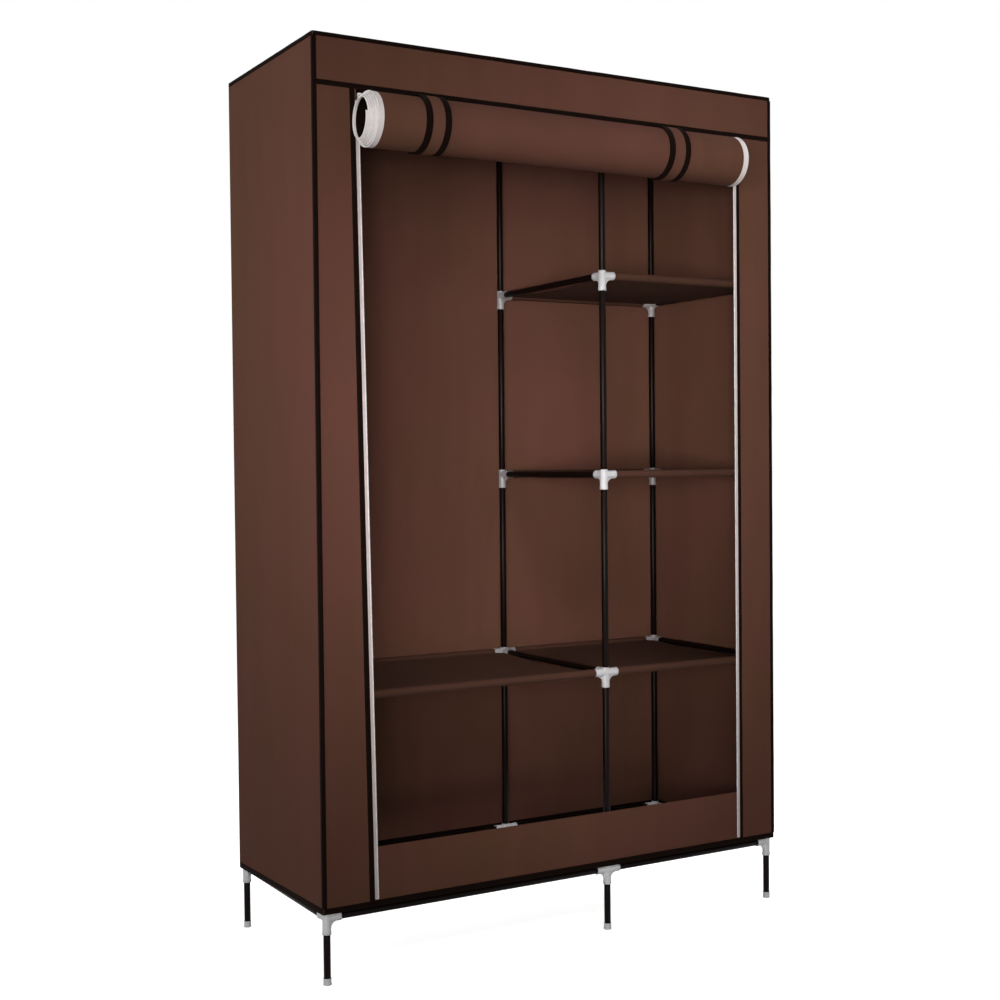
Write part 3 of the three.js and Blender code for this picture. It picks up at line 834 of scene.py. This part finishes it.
def sweep(name, path, axes, outline, closed=False):
    """A section (a, b) carried along a path; axes gives its two directions at each point.
    Its map runs along the path, and both ways round the section from the outline's first point."""
    rings = len(path)
    section = len(outline)
    points = np.zeros((rings, section, 3))
    for ring, (place, (first, second)) in enumerate(zip(path, axes)):
        for corner, (a, b) in enumerate(outline):
            points[ring, corner] = place + first * a + second * b
    runs = np.zeros(rings + 1)
    for ring in range(rings):
        runs[ring + 1] = runs[ring] + (path[(ring + 1) % rings] - path[ring]).length
    around = np.zeros(section + 1)
    for corner in range(section):
        here, there = Vector(outline[corner]), Vector(outline[(corner + 1) % section])
        around[corner + 1] = around[corner] + (there - here).length
    faces, maps = [], []
    for ring in range(rings if closed else rings - 1):
        following = (ring + 1) % rings
        for corner in range(section):
            after = (corner + 1) % section
            faces.append([ring * section + corner, ring * section + after,
                          following * section + after, following * section + corner])
            past_half = around[corner] + around[corner + 1] > around[section]
            start, end = around[corner:corner + 2] - (around[section] if past_half else 0)
            maps += [(runs[ring], start), (runs[ring], end), (runs[ring + 1], end), (runs[ring + 1], start)]
    if not closed:
        for ring in (0, rings - 1):
            faces.append([ring * section + corner for corner in range(section)])
            maps += [(runs[ring], around[corner]) for corner in range(section)]
    mesh = bpy.data.meshes.new(name)
    mesh.from_pydata(points.reshape(-1, 3).tolist(), [], faces)
    layer = mesh.uv_layers.new(name="flat_cut")
    layer.data.foreach_set("uv", np.array(maps, np.float32).ravel())
    piece = bpy.data.objects.new(name, mesh)
    bpy.context.scene.collection.objects.link(piece)
    return face_outward(piece)


def rounded(points, rounding, steps=3):
    """An outline with each of its corners rounded."""
    made = []
    count = len(points)
    for index, point in enumerate(points):
        here = Vector(point)
        before, after = Vector(points[index - 1]) - here, Vector(points[(index + 1) % count]) - here
        shorter = min(before.length, after.length)
        reach = min(rounding, shorter / LEAST_SIDE_PER_ROUNDING)
        start, end = here + before.normalized() * reach, here + after.normalized() * reach
        for step in range(steps + 1):
            t = step / steps
            made.append(tuple(start * (1 - t) ** 2 + here * 2 * t * (1 - t) + end * t * t))
    return made


# Cover

side_low, side_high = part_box("left_side_panel")
back_low, back_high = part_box("back_panel")
roof_low, roof_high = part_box("roof_panel")
front_low, front_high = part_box("front_panel")
tape_low, tape_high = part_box("left_zip_tape")
right_tape_low, right_tape_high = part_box("right_zip_tape")
outer_x = back_high.x
front_y = front_low.y
back_y = back_high.y
hem_z = front_low.z
hem_drop = hem_z - back_low.z
roof_z = roof_high.z
half_cloth = CLOTH / 2


def covers():
    depth = back_y - front_y
    height = roof_z - hem_z
    for side, sign in (("left", -1), ("right", 1)):
        corner = (sign * (outer_x - half_cloth), front_y, hem_z)
        piece = panel(f"{side}_side_cloth", corner, (0, depth, 0), (0, 0, height), (sign, 0, 0), 3 + sign,
                      drop=hem_drop)
        keep(piece, FIXED, "cover", [f"{side}_side_panel"])
    width = 2 * outer_x
    tall = height + hem_drop
    piece = panel("back_cloth", (-outer_x, back_y - half_cloth, back_low.z), (width, 0, 0), (0, 0, tall),
                  (0, 1, 0), 9)
    keep(piece, FIXED, "cover", ["back_panel"])
    piece = panel("roof_cloth", (-outer_x, front_y, roof_z - half_cloth), (width, 0, 0), (0, depth, 0),
                  (0, 0, 1), 14, slack=0, sag=roof_sag)
    keep(piece, FIXED, "cover", ["roof_panel"])


def hang_between(supports, place):
    """1 in the middle between two supports, and 0 at them and beyond the outer ones."""
    for start, end in zip(supports, supports[1:]):
        if start < place < end:
            return math.sin(math.pi * (place - start) / (end - start))
    return 0.0


def roof_sag(u, v):
    """How far the roof hangs between the rails and the hanging rod under it."""
    x, y = u - outer_x, front_y + v
    over_rod = x < post_x["mid"]
    rod = [middle("hanging_rod").y] if over_rod else []
    return (ROOF_SAG * hang_between([post_x[column] for column in COLUMNS], x)
            * hang_between([front_y, *rod, back_y], y))


TAPE_WIDTH = right_tape_high.x - right_tape_low.x
right_tape_x = right_tape_low.x
left_tape_bottom = tape_high.x
left_tape_top = tape_low.x + TAPE_WIDTH
tape_bottom, tape_top = tape_low.z, tape_high.z
valance_z = tape_top + TAPE_TOP_GAP
skirt_top = hem_z + SKIRT_HEIGHT


def left_tape_x(z):
    """The inner edge of the left zip tape at a height."""
    share = (z - tape_bottom) / (tape_top - tape_bottom)
    return left_tape_bottom + (left_tape_top - left_tape_bottom) * share


def fronts():
    y = front_y + half_cloth
    height = valance_z - hem_z
    width = 2 * outer_x
    piece = panel("valance_cloth", (-outer_x, y, valance_z), (width, 0, 0), (0, 0, roof_z - valance_z),
                  (0, -1, 0), 21, slack=SLACK / 2)
    keep(piece, FIXED, "cover", ["front_panel"])

    reach = outer_x + left_tape_bottom - CLOTH_BEHIND_TAPE

    def left_edge(t):
        z = hem_z + t * height
        return 0, (outer_x + left_tape_x(z) - CLOTH_BEHIND_TAPE) / reach

    piece = panel("left_border_cloth", (-outer_x, y, hem_z), (reach, 0, 0), (0, 0, height), (0, -1, 0), 27,
                  sides=left_edge, slack=SLACK / 2)
    keep(piece, FIXED, "cover", ["front_panel"])
    start = right_tape_x + CLOTH_BEHIND_TAPE
    piece = panel("right_border_cloth", (start, y, hem_z), (outer_x - start, 0, 0), (0, 0, height),
                  (0, -1, 0), 33, slack=SLACK / 2)
    keep(piece, FIXED, "cover", ["front_panel"])

    behind = y + CLOTH + BINDING
    start, end = left_tape_bottom - TAPE_WIDTH * 2, right_tape_x + TAPE_WIDTH * 2
    piece = panel("skirt_cloth", (start, behind, hem_z), (end - start, 0, 0), (0, 0, skirt_top - hem_z),
                  (0, -1, 0), 39, slack=SLACK / 3)
    keep(piece, FIXED, "cover", ["front_panel"])


# Bindings

def line(start, end, step=BINDING_STEP):
    start, end = Vector(start), Vector(end)
    count = max(2, round((end - start).length / step) + 1)
    return [start.lerp(end, share) for share in np.linspace(0, 1, count)]


def straight_binding(name, start, end, first, second, outline, wave=BINDING_WAVE, nodes=("front_panel",)):
    """A binding along a straight seam, not quite even."""
    path = line(start, end)
    for point in path:
        uneven = soft_noise(point.z, point.x + point.y, len(name), BINDING_WAVE_SPAN)
        point += (first + second) * wave * uneven
    piece = sweep(name, path, [(first, second)] * len(path), outline)
    return keep(piece, FIXED, "binding", list(nodes))


def angle_outline(width):
    """Folded over an outer corner: a lies along one face and b along the other, 0 at the corner."""
    t = BINDING
    corners = [(t, t), (-width, t), (-width, 0), (0, 0), (0, -width), (t, -width)]
    return rounded(corners, t * BINDING_ROUND_SHARE)


def flat_outline(width):
    t = BINDING
    corners = [(width / 2, t), (0, t), (0, 0), (width, 0), (width, t)]
    return rounded(corners, t * BINDING_ROUND_SHARE)


def hem_outline(height):
    """Folded under an edge: a is outward from the cloth's face and b is up from its edge."""
    t, c = BINDING, CLOTH
    return rounded([(t, height / 2), (t, -t), (-c - t, -t), (-c - t, height), (-c, height), (-c, 0), (0, 0),
                    (0, height), (t, height)], t * HEM_ROUND_SHARE)


def loop_path(z, x, y_front, y_back, corner):
    """A level loop round the cover, with the outward direction at each point."""
    corners = [((x - corner, y_front + corner), -90), ((x - corner, y_back - corner), 0),
               ((-x + corner, y_back - corner), 90), ((-x + corner, y_front + corner), 180)]
    path, outward = [], []
    for (centre_x, centre_y), start in corners:
        for step in range(COVER_CORNER_STEPS + 1):
            angle = math.radians(start + 90 * step / COVER_CORNER_STEPS)
            out = Vector((math.cos(angle), math.sin(angle), 0))
            place = Vector((centre_x, centre_y, z)) + out * corner
            if path and step == 0:
                for between in line(path[-1], place)[1:-1]:
                    path.append(between)
                    outward.append(out)
            path.append(place)
            outward.append(out)
    last = line(path[-1], path[0])[1:-1]
    path += last
    outward += [outward[-1]] * len(last)
    return path, outward


def loop_binding(name, z, outline, drop=0.0):
    """A binding all round the cover, which falls by the drop towards the back."""
    path, outward = loop_path(z, outer_x, front_y, back_y, COVER_CORNER)
    for index, point in enumerate(path):
        point.z += BINDING_WAVE * soft_noise(index * BINDING_STEP, 0, len(name), BINDING_WAVE_SPAN)
        point.z -= drop * (point.y - front_y) / (back_y - front_y)
    piece = sweep(name, path, [(out, Z) for out in outward], outline, closed=True)
    return keep(piece, FIXED, "binding", ["front_panel"])


def bindings():
    angle = angle_outline(BINDING_CORNER_WIDTH)
    loop_binding("roof_binding", roof_z, angle)
    loop_binding("hem_binding", hem_z, hem_outline(BINDING_HEM_HEIGHT), hem_drop)
    for side, sign in (("left", -1), ("right", 1)):
        corner_x = sign * outer_x
        straight_binding(f"front_{side}_binding", (corner_x, front_y, hem_z + BINDING_HEM_HEIGHT),
                         (corner_x, front_y, roof_z - BINDING_CORNER_WIDTH), sign * X, -Y, angle)
    straight_binding("valance_binding", (-outer_x, front_y, valance_z), (outer_x, front_y, valance_z),
                     Z, -Y, flat_outline(BINDING_VALANCE))
    left_low = left_tape_bottom - TAPE_WIDTH
    left_high = left_tape_top - TAPE_WIDTH
    straight_binding("left_tape_binding", (left_low, front_y, hem_z + BINDING_HEM_HEIGHT),
                     (left_high, front_y, valance_z), -X, -Y, flat_outline(BINDING_LEFT_TAPE))
    right_edge = right_tape_x + TAPE_WIDTH
    straight_binding("right_tape_binding", (right_edge, front_y, hem_z + BINDING_HEM_HEIGHT),
                     (right_edge, front_y, valance_z), X, -Y, flat_outline(BINDING_RIGHT_TAPE))


# Zips

def teeth(name, path, outward, across, body, node):
    """A row of zip teeth as one ribbed bead along a path."""
    points = np.zeros((len(path), TOOTH_SIDES, 3))
    for ring, (point, first, second) in enumerate(zip(path, outward, across)):
        swell = 1.0 if ring % 2 else TOOTH_GAP_SHARE
        for corner in range(TOOTH_SIDES):
            angle = math.tau * corner / TOOTH_SIDES
            points[ring, corner] = (point + first * math.cos(angle) * TOOTH_RADIUS * swell
                                    + second * math.sin(angle) * TOOTH_RADIUS * swell * TOOTH_WIDTH_SHARE)
    index = np.arange(len(path) * TOOTH_SIDES).reshape(len(path), TOOTH_SIDES)
    following = np.roll(index, -1, axis=1)
    sides = np.stack([index[:-1], following[:-1], following[1:], index[1:]], axis=-1).reshape(-1, 4)
    faces = [*sides.tolist(), index[0].tolist(), index[-1].tolist()]
    mesh = bpy.data.meshes.new(name)
    mesh.from_pydata(points.reshape(-1, 3).tolist(), [], faces)
    piece = bpy.data.objects.new(name, mesh)
    bpy.context.scene.collection.objects.link(piece)
    face_outward(piece)
    return keep(piece, body, "teeth", [node])


def ribbon(name, path, widths, thickness, columns=3):
    """A tape through points; widths gives its two edges along x at each point."""
    points = np.zeros((len(path), columns, 3))
    flat = np.zeros((len(path), columns, 2))
    run = 0.0
    for row, point in enumerate(path):
        if row:
            run += (point - path[row - 1]).length
        start, end = widths[row]
        for column, share in enumerate(np.linspace(0, 1, columns)):
            x = start + (end - start) * share
            points[row, column] = (x, point.y, point.z)
            flat[row, column] = (x - start, run)
    return cloth(name, points, flat, thickness)


def border_tapes():
    y = (tape_low.y + tape_high.y) / 2
    thickness = tape_high.y - tape_low.y - TAPE_THINNING
    path = line((0, y, tape_bottom), (0, y, tape_top - TAPE_TUCK))
    left = [(left_tape_x(p.z) - TAPE_WIDTH, left_tape_x(p.z) - TOOTH_RADIUS) for p in path]
    right = [(right_tape_x + TOOTH_RADIUS, right_tape_x + TAPE_WIDTH) for p in path]
    for side, widths, edge in (("left", left, left_tape_x), ("right", right, lambda z: right_tape_x)):
        sign = 1 if side == "left" else -1
        piece = ribbon(f"{side}_zip_tape_cloth", path, widths, thickness)
        keep(piece, FIXED, "tape", [f"{side}_zip_tape"])
        fine = line((0, y, tape_bottom), (0, y, tape_top - TAPE_TUCK), TOOTH_PITCH / 2)
        run = [Vector((edge(p.z) - sign * TOOTH_RADIUS, p.y - TOOTH_RADIUS / 3, p.z)) for p in fine]
        teeth(f"{side}_zip_teeth", run, [-Y] * len(run), [X] * len(run), FIXED,
              f"{side}_zip_tape")


# Rolled door

winding_outer = ROLL_RADIUS - WOUND_CLOTH / 2
winding_inner = CORE_RADIUS + WOUND_CLOTH / 2
door_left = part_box("left_door_tape")[0].x + WINDING_SHIFT + DOOR_TAPE + DOOR_GAP
door_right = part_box("right_door_tape")[1].x - DOOR_TAPE - DOOR_GAP
seam_y = front_y + CLOTH
seam_z = valance_z - DOOR_GAP - SEAM_RUN
roll_centre = Vector((0, front_y - ROLL_BACK_GAP - ROLL_RADIUS, valance_z - ROLL_TOP_GAP - ROLL_RADIUS))


def leave_angle():
    """Where the cloth from the valance touches the roll."""
    reach = Vector((seam_y - roll_centre.y, seam_z - roll_centre.z))
    return math.atan2(reach.y, reach.x) - math.acos(winding_outer / reach.length)


def winding(turn, out=0.0):
    """A point on the wound cloth, turn counted from where it touches the roll."""
    radius = winding_outer - (winding_outer - winding_inner) * turn / ROLL_TURNS + out
    angle = leave_angle() - math.tau * turn
    return Vector((0, roll_centre.y + radius * math.cos(angle), roll_centre.z + radius * math.sin(angle)))


def roll_lump(x, turn):
    """How far the roll bulges there; all windings bulge alike, so none cuts another."""
    angle = leave_angle() - math.tau * turn
    round_the_roll = (math.cos(angle) * ROLL_LUMP_ROUND, math.sin(angle) * ROLL_LUMP_ROUND)
    return ROLL_LUMP * noise.noise(Vector((x / ROLL_LUMP_SPAN, *round_the_roll)))


def creep(turn, point):
    """How far a winding lies to the left of the outermost one: most at the core, and there at its front."""
    front = (roll_centre.y - point.y) / ROLL_RADIUS
    return -(WINDING_SHIFT + CORE_LEAN * (1 + front) / 2) * turn / ROLL_TURNS


def wound(name, left, right, columns, first=0.0, last=ROLL_TURNS - SHADE_HEM_TURNS):
    """A strip wound on the roll between two edges at its outer end, from one turn to another."""
    rows = round((last - first) * WINDING_STEPS) + 1
    points = np.zeros((rows, columns, 3))
    flat = np.zeros((rows, columns, 2))
    run = 0.0
    for row, turn in enumerate(np.linspace(first, last, rows)):
        middle_point = winding(turn)
        shift = creep(turn, middle_point)
        run += math.tau / WINDING_STEPS * (middle_point - roll_centre).length if row else 0
        for column, x in enumerate(np.linspace(left, right, columns)):
            point = winding(turn, roll_lump(x + shift, turn))
            points[row, column] = (x + shift, point.y, point.z)
            flat[row, column] = (x - left, run)
    return cloth(name, points, flat), run


def squash_door(piece):
    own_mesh(piece)


def rolled_door():
    columns = round((door_right - door_left) / CLOTH_CELL) + 1
    piece, length = wound("door_cloth", door_left, door_right, columns)
    keep(piece, DOOR, "cover", ["door_roll"])
    # The innermost turn in black binding: a real hem binding, widened into painted shade inside the roll
    hem, shade_hem_length = wound("door_hem_painted_shade", door_left - HEM_OVER_TAPE, door_right + HEM_OVER_TAPE, columns,
                            ROLL_TURNS - SHADE_HEM_TURNS, ROLL_TURNS)
    keep(hem, DOOR, "binding", ["door_roll"])
    partners = [hem]
    edges = (("left", door_left - DOOR_GAP - DOOR_TAPE, door_left - DOOR_GAP, 1),
             ("right", door_right + DOOR_GAP, door_right + DOOR_GAP + DOOR_TAPE, -1))
    for side, left, right, sign in edges:
        tape, _ = wound(f"{side}_door_tape_cloth", left, right, 3)
        edge = left if side == "left" else right
        beside_hem = edge + sign * (DOOR_TAPE - HEM_OVER_TAPE)
        tape_end, _ = wound(f"{side}_door_tape_end", min(edge, beside_hem), max(edge, beside_hem), 3,
                            ROLL_TURNS - SHADE_HEM_TURNS, ROLL_TURNS)
        for part in (tape, tape_end):
            keep(part, DOOR, "door_tape", [f"{side}_door_tape"])
            partners.append(part)
        count = round((length + shade_hem_length) / (TOOTH_PITCH / 2))
        run, outward, across = [], [], []
        for index in range(count):
            turn = ROLL_TURNS * index / count
            point = winding(turn)
            out = (point - roll_centre).normalized()
            run.append(Vector((edge + creep(turn, point) + sign * TOOTH_RADIUS, point.y, point.z)))
            outward.append(out)
            across.append(X)
        partners.append(teeth(f"{side}_door_teeth", run, outward, across, DOOR,
                              f"{side}_door_tape"))
    squashed = [piece, *partners]
    for part in squashed:
        squash_door(part)
    drop, tapes = door_drop()


def door_drop():
    """The cloth from the valance to the roll, as it hangs with the roll up; its map runs over the length
    that comes down with the roll too.
    Its edges follow the doorway, and near the roll they go over to the edges of the roll."""
    start = Vector((0, seam_y, seam_z))
    end = winding(0)
    travel = next(j for j in frame["joints"] if j["name"] == "door_drop")["range_m"][1]
    shares = np.linspace(0, 1, DROP_SAMPLES)
    reach = (end - start).length * shares + travel * shares * shares * (3 - 2 * shares)
    total = reach[-1]
    rows = np.interp(np.linspace(0, total, DROP_ROWS), reach, shares)

    def edges(fallen):
        """The left and right edge of the whole strip where that much cloth has come down."""
        over = edge_fade(fallen - total * (1 - DROP_TAPER), total * DROP_TAPER)
        left = left_tape_x(seam_z - fallen) + SEAM_EASE
        right = right_tape_x - SEAM_EASE
        tape = DOOR_GAP + DOOR_TAPE
        return left + (door_left - tape - left) * over, right + (door_right + tape - right) * over

    def strip(name, inner, columns):
        """The part of the strip between two edges, worked out from the whole strip's edges."""
        points = np.zeros((DROP_ROWS, columns, 3))
        flat = np.zeros((DROP_ROWS, columns, 2))
        for row, share in enumerate(rows):
            place = start.lerp(end, float(share))
            fallen = float(np.interp(share, shares, reach))
            calm = math.sin(math.pi * share) ** DROP_SLACK_POWER if 0 < share < 1 else 0
            for column, x in enumerate(np.linspace(*inner(*edges(fallen)), columns)):
                proud = DROP_SLACK * calm * soft_noise(x, fallen, DROP_SLACK_SEED, DROP_SLACK_SPAN)
                points[row, column] = (x, place.y - proud, place.z)
                flat[row, column] = (x, fallen)
        piece = cloth(name, points, flat)
        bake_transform(piece)
        return piece

    border = DOOR_TAPE + DOOR_GAP
    drop = strip("door_drop_cloth", lambda left, right: (left + border, right - border),
                 round((door_right - door_left) / CLOTH_CELL) + 1)
    keep(drop, None, "cover", ["door_roll"])
    tapes = [
        strip("left_door_drop_tape", lambda left, right: (left, left + DOOR_TAPE), 3),
        strip("right_door_drop_tape", lambda left, right: (right - DOOR_TAPE, right), 3),
    ]
    for side, tape in zip(("left", "right"), tapes):
        keep(tape, None, "door_tape", [f"{side}_door_tape"])
    return drop, tapes


# Ties

def tie_path():
    """From behind the valance down behind the roll, round it and up to the binding of the valance."""
    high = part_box("left_tie")[1]
    radius = ROLL_RADIUS + TIE_EASE
    back = Vector((high.y - TIE_BACK_GAP - roll_centre.y, seam_z - roll_centre.z))
    front = Vector((front_y - BINDING / 2 - roll_centre.y, valance_z - DOOR_GAP - roll_centre.z))
    start = math.atan2(back.y, back.x) - math.acos(radius / back.length)
    end = math.atan2(front.y, front.x) + math.acos(radius / front.length) - math.tau
    flat = [Vector((back.x, high.z - roll_centre.z)), back]
    for step in range(TIE_STEPS + 1):
        angle = start + (end - start) * step / TIE_STEPS
        flat.append(Vector((math.cos(angle), math.sin(angle))) * radius)
    flat.append(front)
    return [Vector((0, roll_centre.y + p.x, roll_centre.z + p.y)) for p in flat]


def ties():
    path = tie_path()
    for side in ("left", "right"):
        low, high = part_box(f"{side}_tie")
        rows = len(path)
        strap = ribbon(f"{side}_tie_strap", path,
                       [(low.x + TIE_STRAP_INSET, high.x - TIE_STRAP_INSET)] * rows, CLOTH, 5)
        keep(strap, FIXED, "cover", [f"{side}_tie"])
        bands = []
        for band, start in (("outer", low.x), ("inner", high.x - TIE_BAND)):
            edge = ribbon(f"{side}_tie_{band}_binding", path, [(start, start + TIE_BAND)] * rows,
                          CLOTH + 2 * TIE_BAND_RISE, 3)
            keep(edge, FIXED, "binding", [f"{side}_tie"])
            bands.append(edge)
        for part in (strap, *bands):
            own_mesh(part)


# Shelves

SLEEVE = TUBE_RADIUS + CLOTH
SLEEVE_STEPS = 24
SLEEVE_JOIN = math.radians(14)
NOTCH_EDGE = SOCKET_RADIUS + NOTCH_CLEARANCE
NOTCH_REACH = SOCKET_REACH + NOTCH_CLEARANCE


def shelf_section():
    """Points (y, z, slack) of the cloth: from a hem under the sheet round the front rail, across at the
    height of the rails, and round the back rail to the hem there."""
    front, back = post_y["front"], post_y["back"]
    turn = math.tau - 2 * SLEEVE_JOIN
    under = -SHELF_HEM_LAP
    round_front = []
    for step in range(SLEEVE_STEPS + 1):
        angle = -SLEEVE_JOIN - turn * step / SLEEVE_STEPS
        round_front.append((SLEEVE * math.cos(angle), SLEEVE * math.sin(angle)))
    hem = [(SLEEVE + SHELF_HEM, under), (SLEEVE + SHELF_HEM / 2, under), (SLEEVE + 2 * CLOTH, under)]
    half = hem + round_front + [(SLEEVE + 2 * CLOTH, 0)]
    count = round((back - front) / CLOTH_CELL)
    sheet = []
    for step in range(1, count):
        share = step / count
        sheet.append((front + (back - front) * share, 0, math.sin(math.pi * share)))
    return ([(front + y, z, 0.0) for y, z in half] + sheet
            + [(back - y, z, 0.0) for y, z in reversed(half)])


def shelf(node, start_column, end_column, level, seed):
    section = shelf_section()
    left, right = post_x[start_column], post_x[end_column]
    columns = round((right - left) / CLOTH_CELL) + 1
    points = np.zeros((len(section), columns, 3))
    flat = np.zeros((len(section), columns, 2))
    run = 0.0
    inner = (post_y["back"] - post_y["front"]) / 2 - NOTCH_EDGE
    centre = (post_y["back"] + post_y["front"]) / 2
    for row, (y, z, slack) in enumerate(section):
        if row:
            run += math.dist(section[row - 1][:2], (y, z))
        free = edge_fade(inner - abs(y - centre), NOTCH_FADE)
        inset = NOTCH_REACH + (NOTCH_EDGE - NOTCH_REACH) * free
        for column, share in enumerate(np.linspace(0, 1, columns)):
            x = left + inset + (right - left - 2 * inset) * share
            ripple = SHELF_RIPPLE * slack * soft_noise(x, y, seed)
            points[row, column] = (x, y, level_z[level] + z - SHELF_SAG * slack + ripple)
            flat[row, column] = (x, run)
    piece = cloth(f"{node}_cloth", points, flat)
    # The shelf finish is the cover's cloth darkened as painted shade
    keep(piece, FIXED, "shelf", [node])


def shelves():
    shelf("low_shelf_left", "left", "mid", "low", 61)
    shelf("low_shelf_right", "mid", "right", "low", 67)
    shelf("mid_shelf", "mid", "right", "mid", 71)
    shelf("high_shelf", "mid", "right", "high", 77)


# Sliders and pull tabs: the solids themselves, with a finish

def zip_hardware():
    for side in ("left", "right"):
        for node in (f"{side}_zip_slider", f"{side}_pull_tab"):
            piece = frame["nodes"][node]
            piece.data.materials.clear()
            piece.data.materials.append(materials["metal"])


# Stage

def aim(place, target):
    """A lamp's matrix that faces it from its place to the target."""
    direction = Vector(target) - Vector(place)
    return Matrix.Translation(place) @ direction.to_track_quat("-Z", "Y").to_matrix().to_4x4()


def soft_lamp(name, place, target, size, power, spread):
    lamp = bpy.data.lights.new(name, "AREA")
    lamp.shape = "SQUARE"
    lamp.size = size
    lamp.energy = power
    lamp.spread = math.radians(spread)
    made = bpy.data.objects.new(name, lamp)
    bpy.context.scene.collection.objects.link(made)
    made.matrix_world = aim(place, target)
    made.visible_camera = False
    return made


def seen_directly(tree):
    """1 for rays from the camera and for reflections, and 0 for light on the object."""
    path = tree.nodes.new("ShaderNodeLightPath")
    total = path.outputs["Is Camera Ray"]
    for kind in ("Is Glossy Ray", "Is Transmission Ray"):
        step = tree.nodes.new("ShaderNodeMath")
        step.operation = "MAXIMUM"
        tree.links.new(total, step.inputs[0])
        tree.links.new(path.outputs[kind], step.inputs[1])
        total = step.outputs[0]
    return total


def world():
    made = bpy.data.worlds.new("studio")
    bpy.context.scene.world = made
    made.use_nodes = True
    tree = made.node_tree
    shown = tree.nodes["Background"]
    shown.inputs["Color"].default_value = (1, 1, 1, 1)
    lit = tree.nodes.new("ShaderNodeBackground")
    lit.inputs["Color"].default_value = (1, 1, 1, 1)
    lit.inputs["Strength"].default_value = AMBIENT
    mix = tree.nodes.new("ShaderNodeMixShader")
    tree.links.new(seen_directly(tree), mix.inputs[0])
    tree.links.new(lit.outputs[0], mix.inputs[1])
    tree.links.new(shown.outputs[0], mix.inputs[2])
    tree.links.new(mix.outputs[0], tree.nodes["World Output"].inputs["Surface"])


def floor():
    deselect()
    bpy.ops.mesh.primitive_plane_add(size=2 * FLOOR_HALF)
    plane = bpy.context.object
    plane.name = "floor"
    made = bpy.data.materials.new("pale_floor")
    made.use_nodes = True
    tree = made.node_tree
    tree.nodes.remove(tree.nodes["Principled BSDF"])
    pale = tree.nodes.new("ShaderNodeBsdfDiffuse")
    pale.inputs["Color"].default_value = grey(FLOOR_TONE)
    dull = tree.nodes.new("ShaderNodeBsdfDiffuse")
    dull.inputs["Color"].default_value = grey(AMBIENT_FROM_BELOW)
    glow = tree.nodes.new("ShaderNodeEmission")
    glow.inputs["Strength"].default_value = FLOOR_GLOW
    seen = tree.nodes.new("ShaderNodeAddShader")
    tree.links.new(pale.outputs[0], seen.inputs[0])
    tree.links.new(glow.outputs[0], seen.inputs[1])
    mix = tree.nodes.new("ShaderNodeMixShader")
    tree.links.new(seen_directly(tree), mix.inputs[0])
    tree.links.new(dull.outputs[0], mix.inputs[1])
    tree.links.new(seen.outputs[0], mix.inputs[2])
    tree.links.new(mix.outputs[0], tree.nodes["Material Output"].inputs["Surface"])
    plane.data.materials.append(made)


def camera():
    lens = bpy.data.cameras.new("camera")
    lens.lens = CAMERA_LENS
    lens.sensor_width = CAMERA_SENSOR
    lens.clip_end = CAMERA_SIGHT
    made = bpy.data.objects.new("camera", lens)
    bpy.context.scene.collection.objects.link(made)
    level = math.cos(CAMERA_PITCH)
    ahead = Vector((math.sin(CAMERA_YAW) * level, math.cos(CAMERA_YAW) * level, math.sin(CAMERA_PITCH)))
    right = Vector((math.cos(CAMERA_YAW), -math.sin(CAMERA_YAW), 0))
    up = right.cross(ahead)
    tilted = right * math.cos(CAMERA_ROLL) + up * math.sin(CAMERA_ROLL)
    raised = up * math.cos(CAMERA_ROLL) - right * math.sin(CAMERA_ROLL)
    facing = Matrix((tilted, raised, -ahead)).transposed().to_4x4()
    made.matrix_world = Matrix.Translation(CAMERA_PLACE) @ facing
    bpy.context.scene.camera = made


def studio():
    camera()
    world()
    floor()
    for lamp in LAMPS:
        soft_lamp(*lamp)
    bpy.context.scene.view_settings.view_transform = "Standard"


studio()
rails()
post_tubes()
sockets()
rod_sockets()
feet()
covers()
fronts()
bindings()
border_tapes()
rolled_door()
ties()
shelves()
zip_hardware()
for pattern in tube_patterns.values():
    bpy.data.objects.remove(pattern)

deselect()
for piece in made_pieces:
    piece.select_set(True)
bpy.context.view_layer.objects.active = made_pieces[0]
bpy.ops.object.shade_smooth_by_angle(angle=SMOOTH_ANGLE)
deselect()
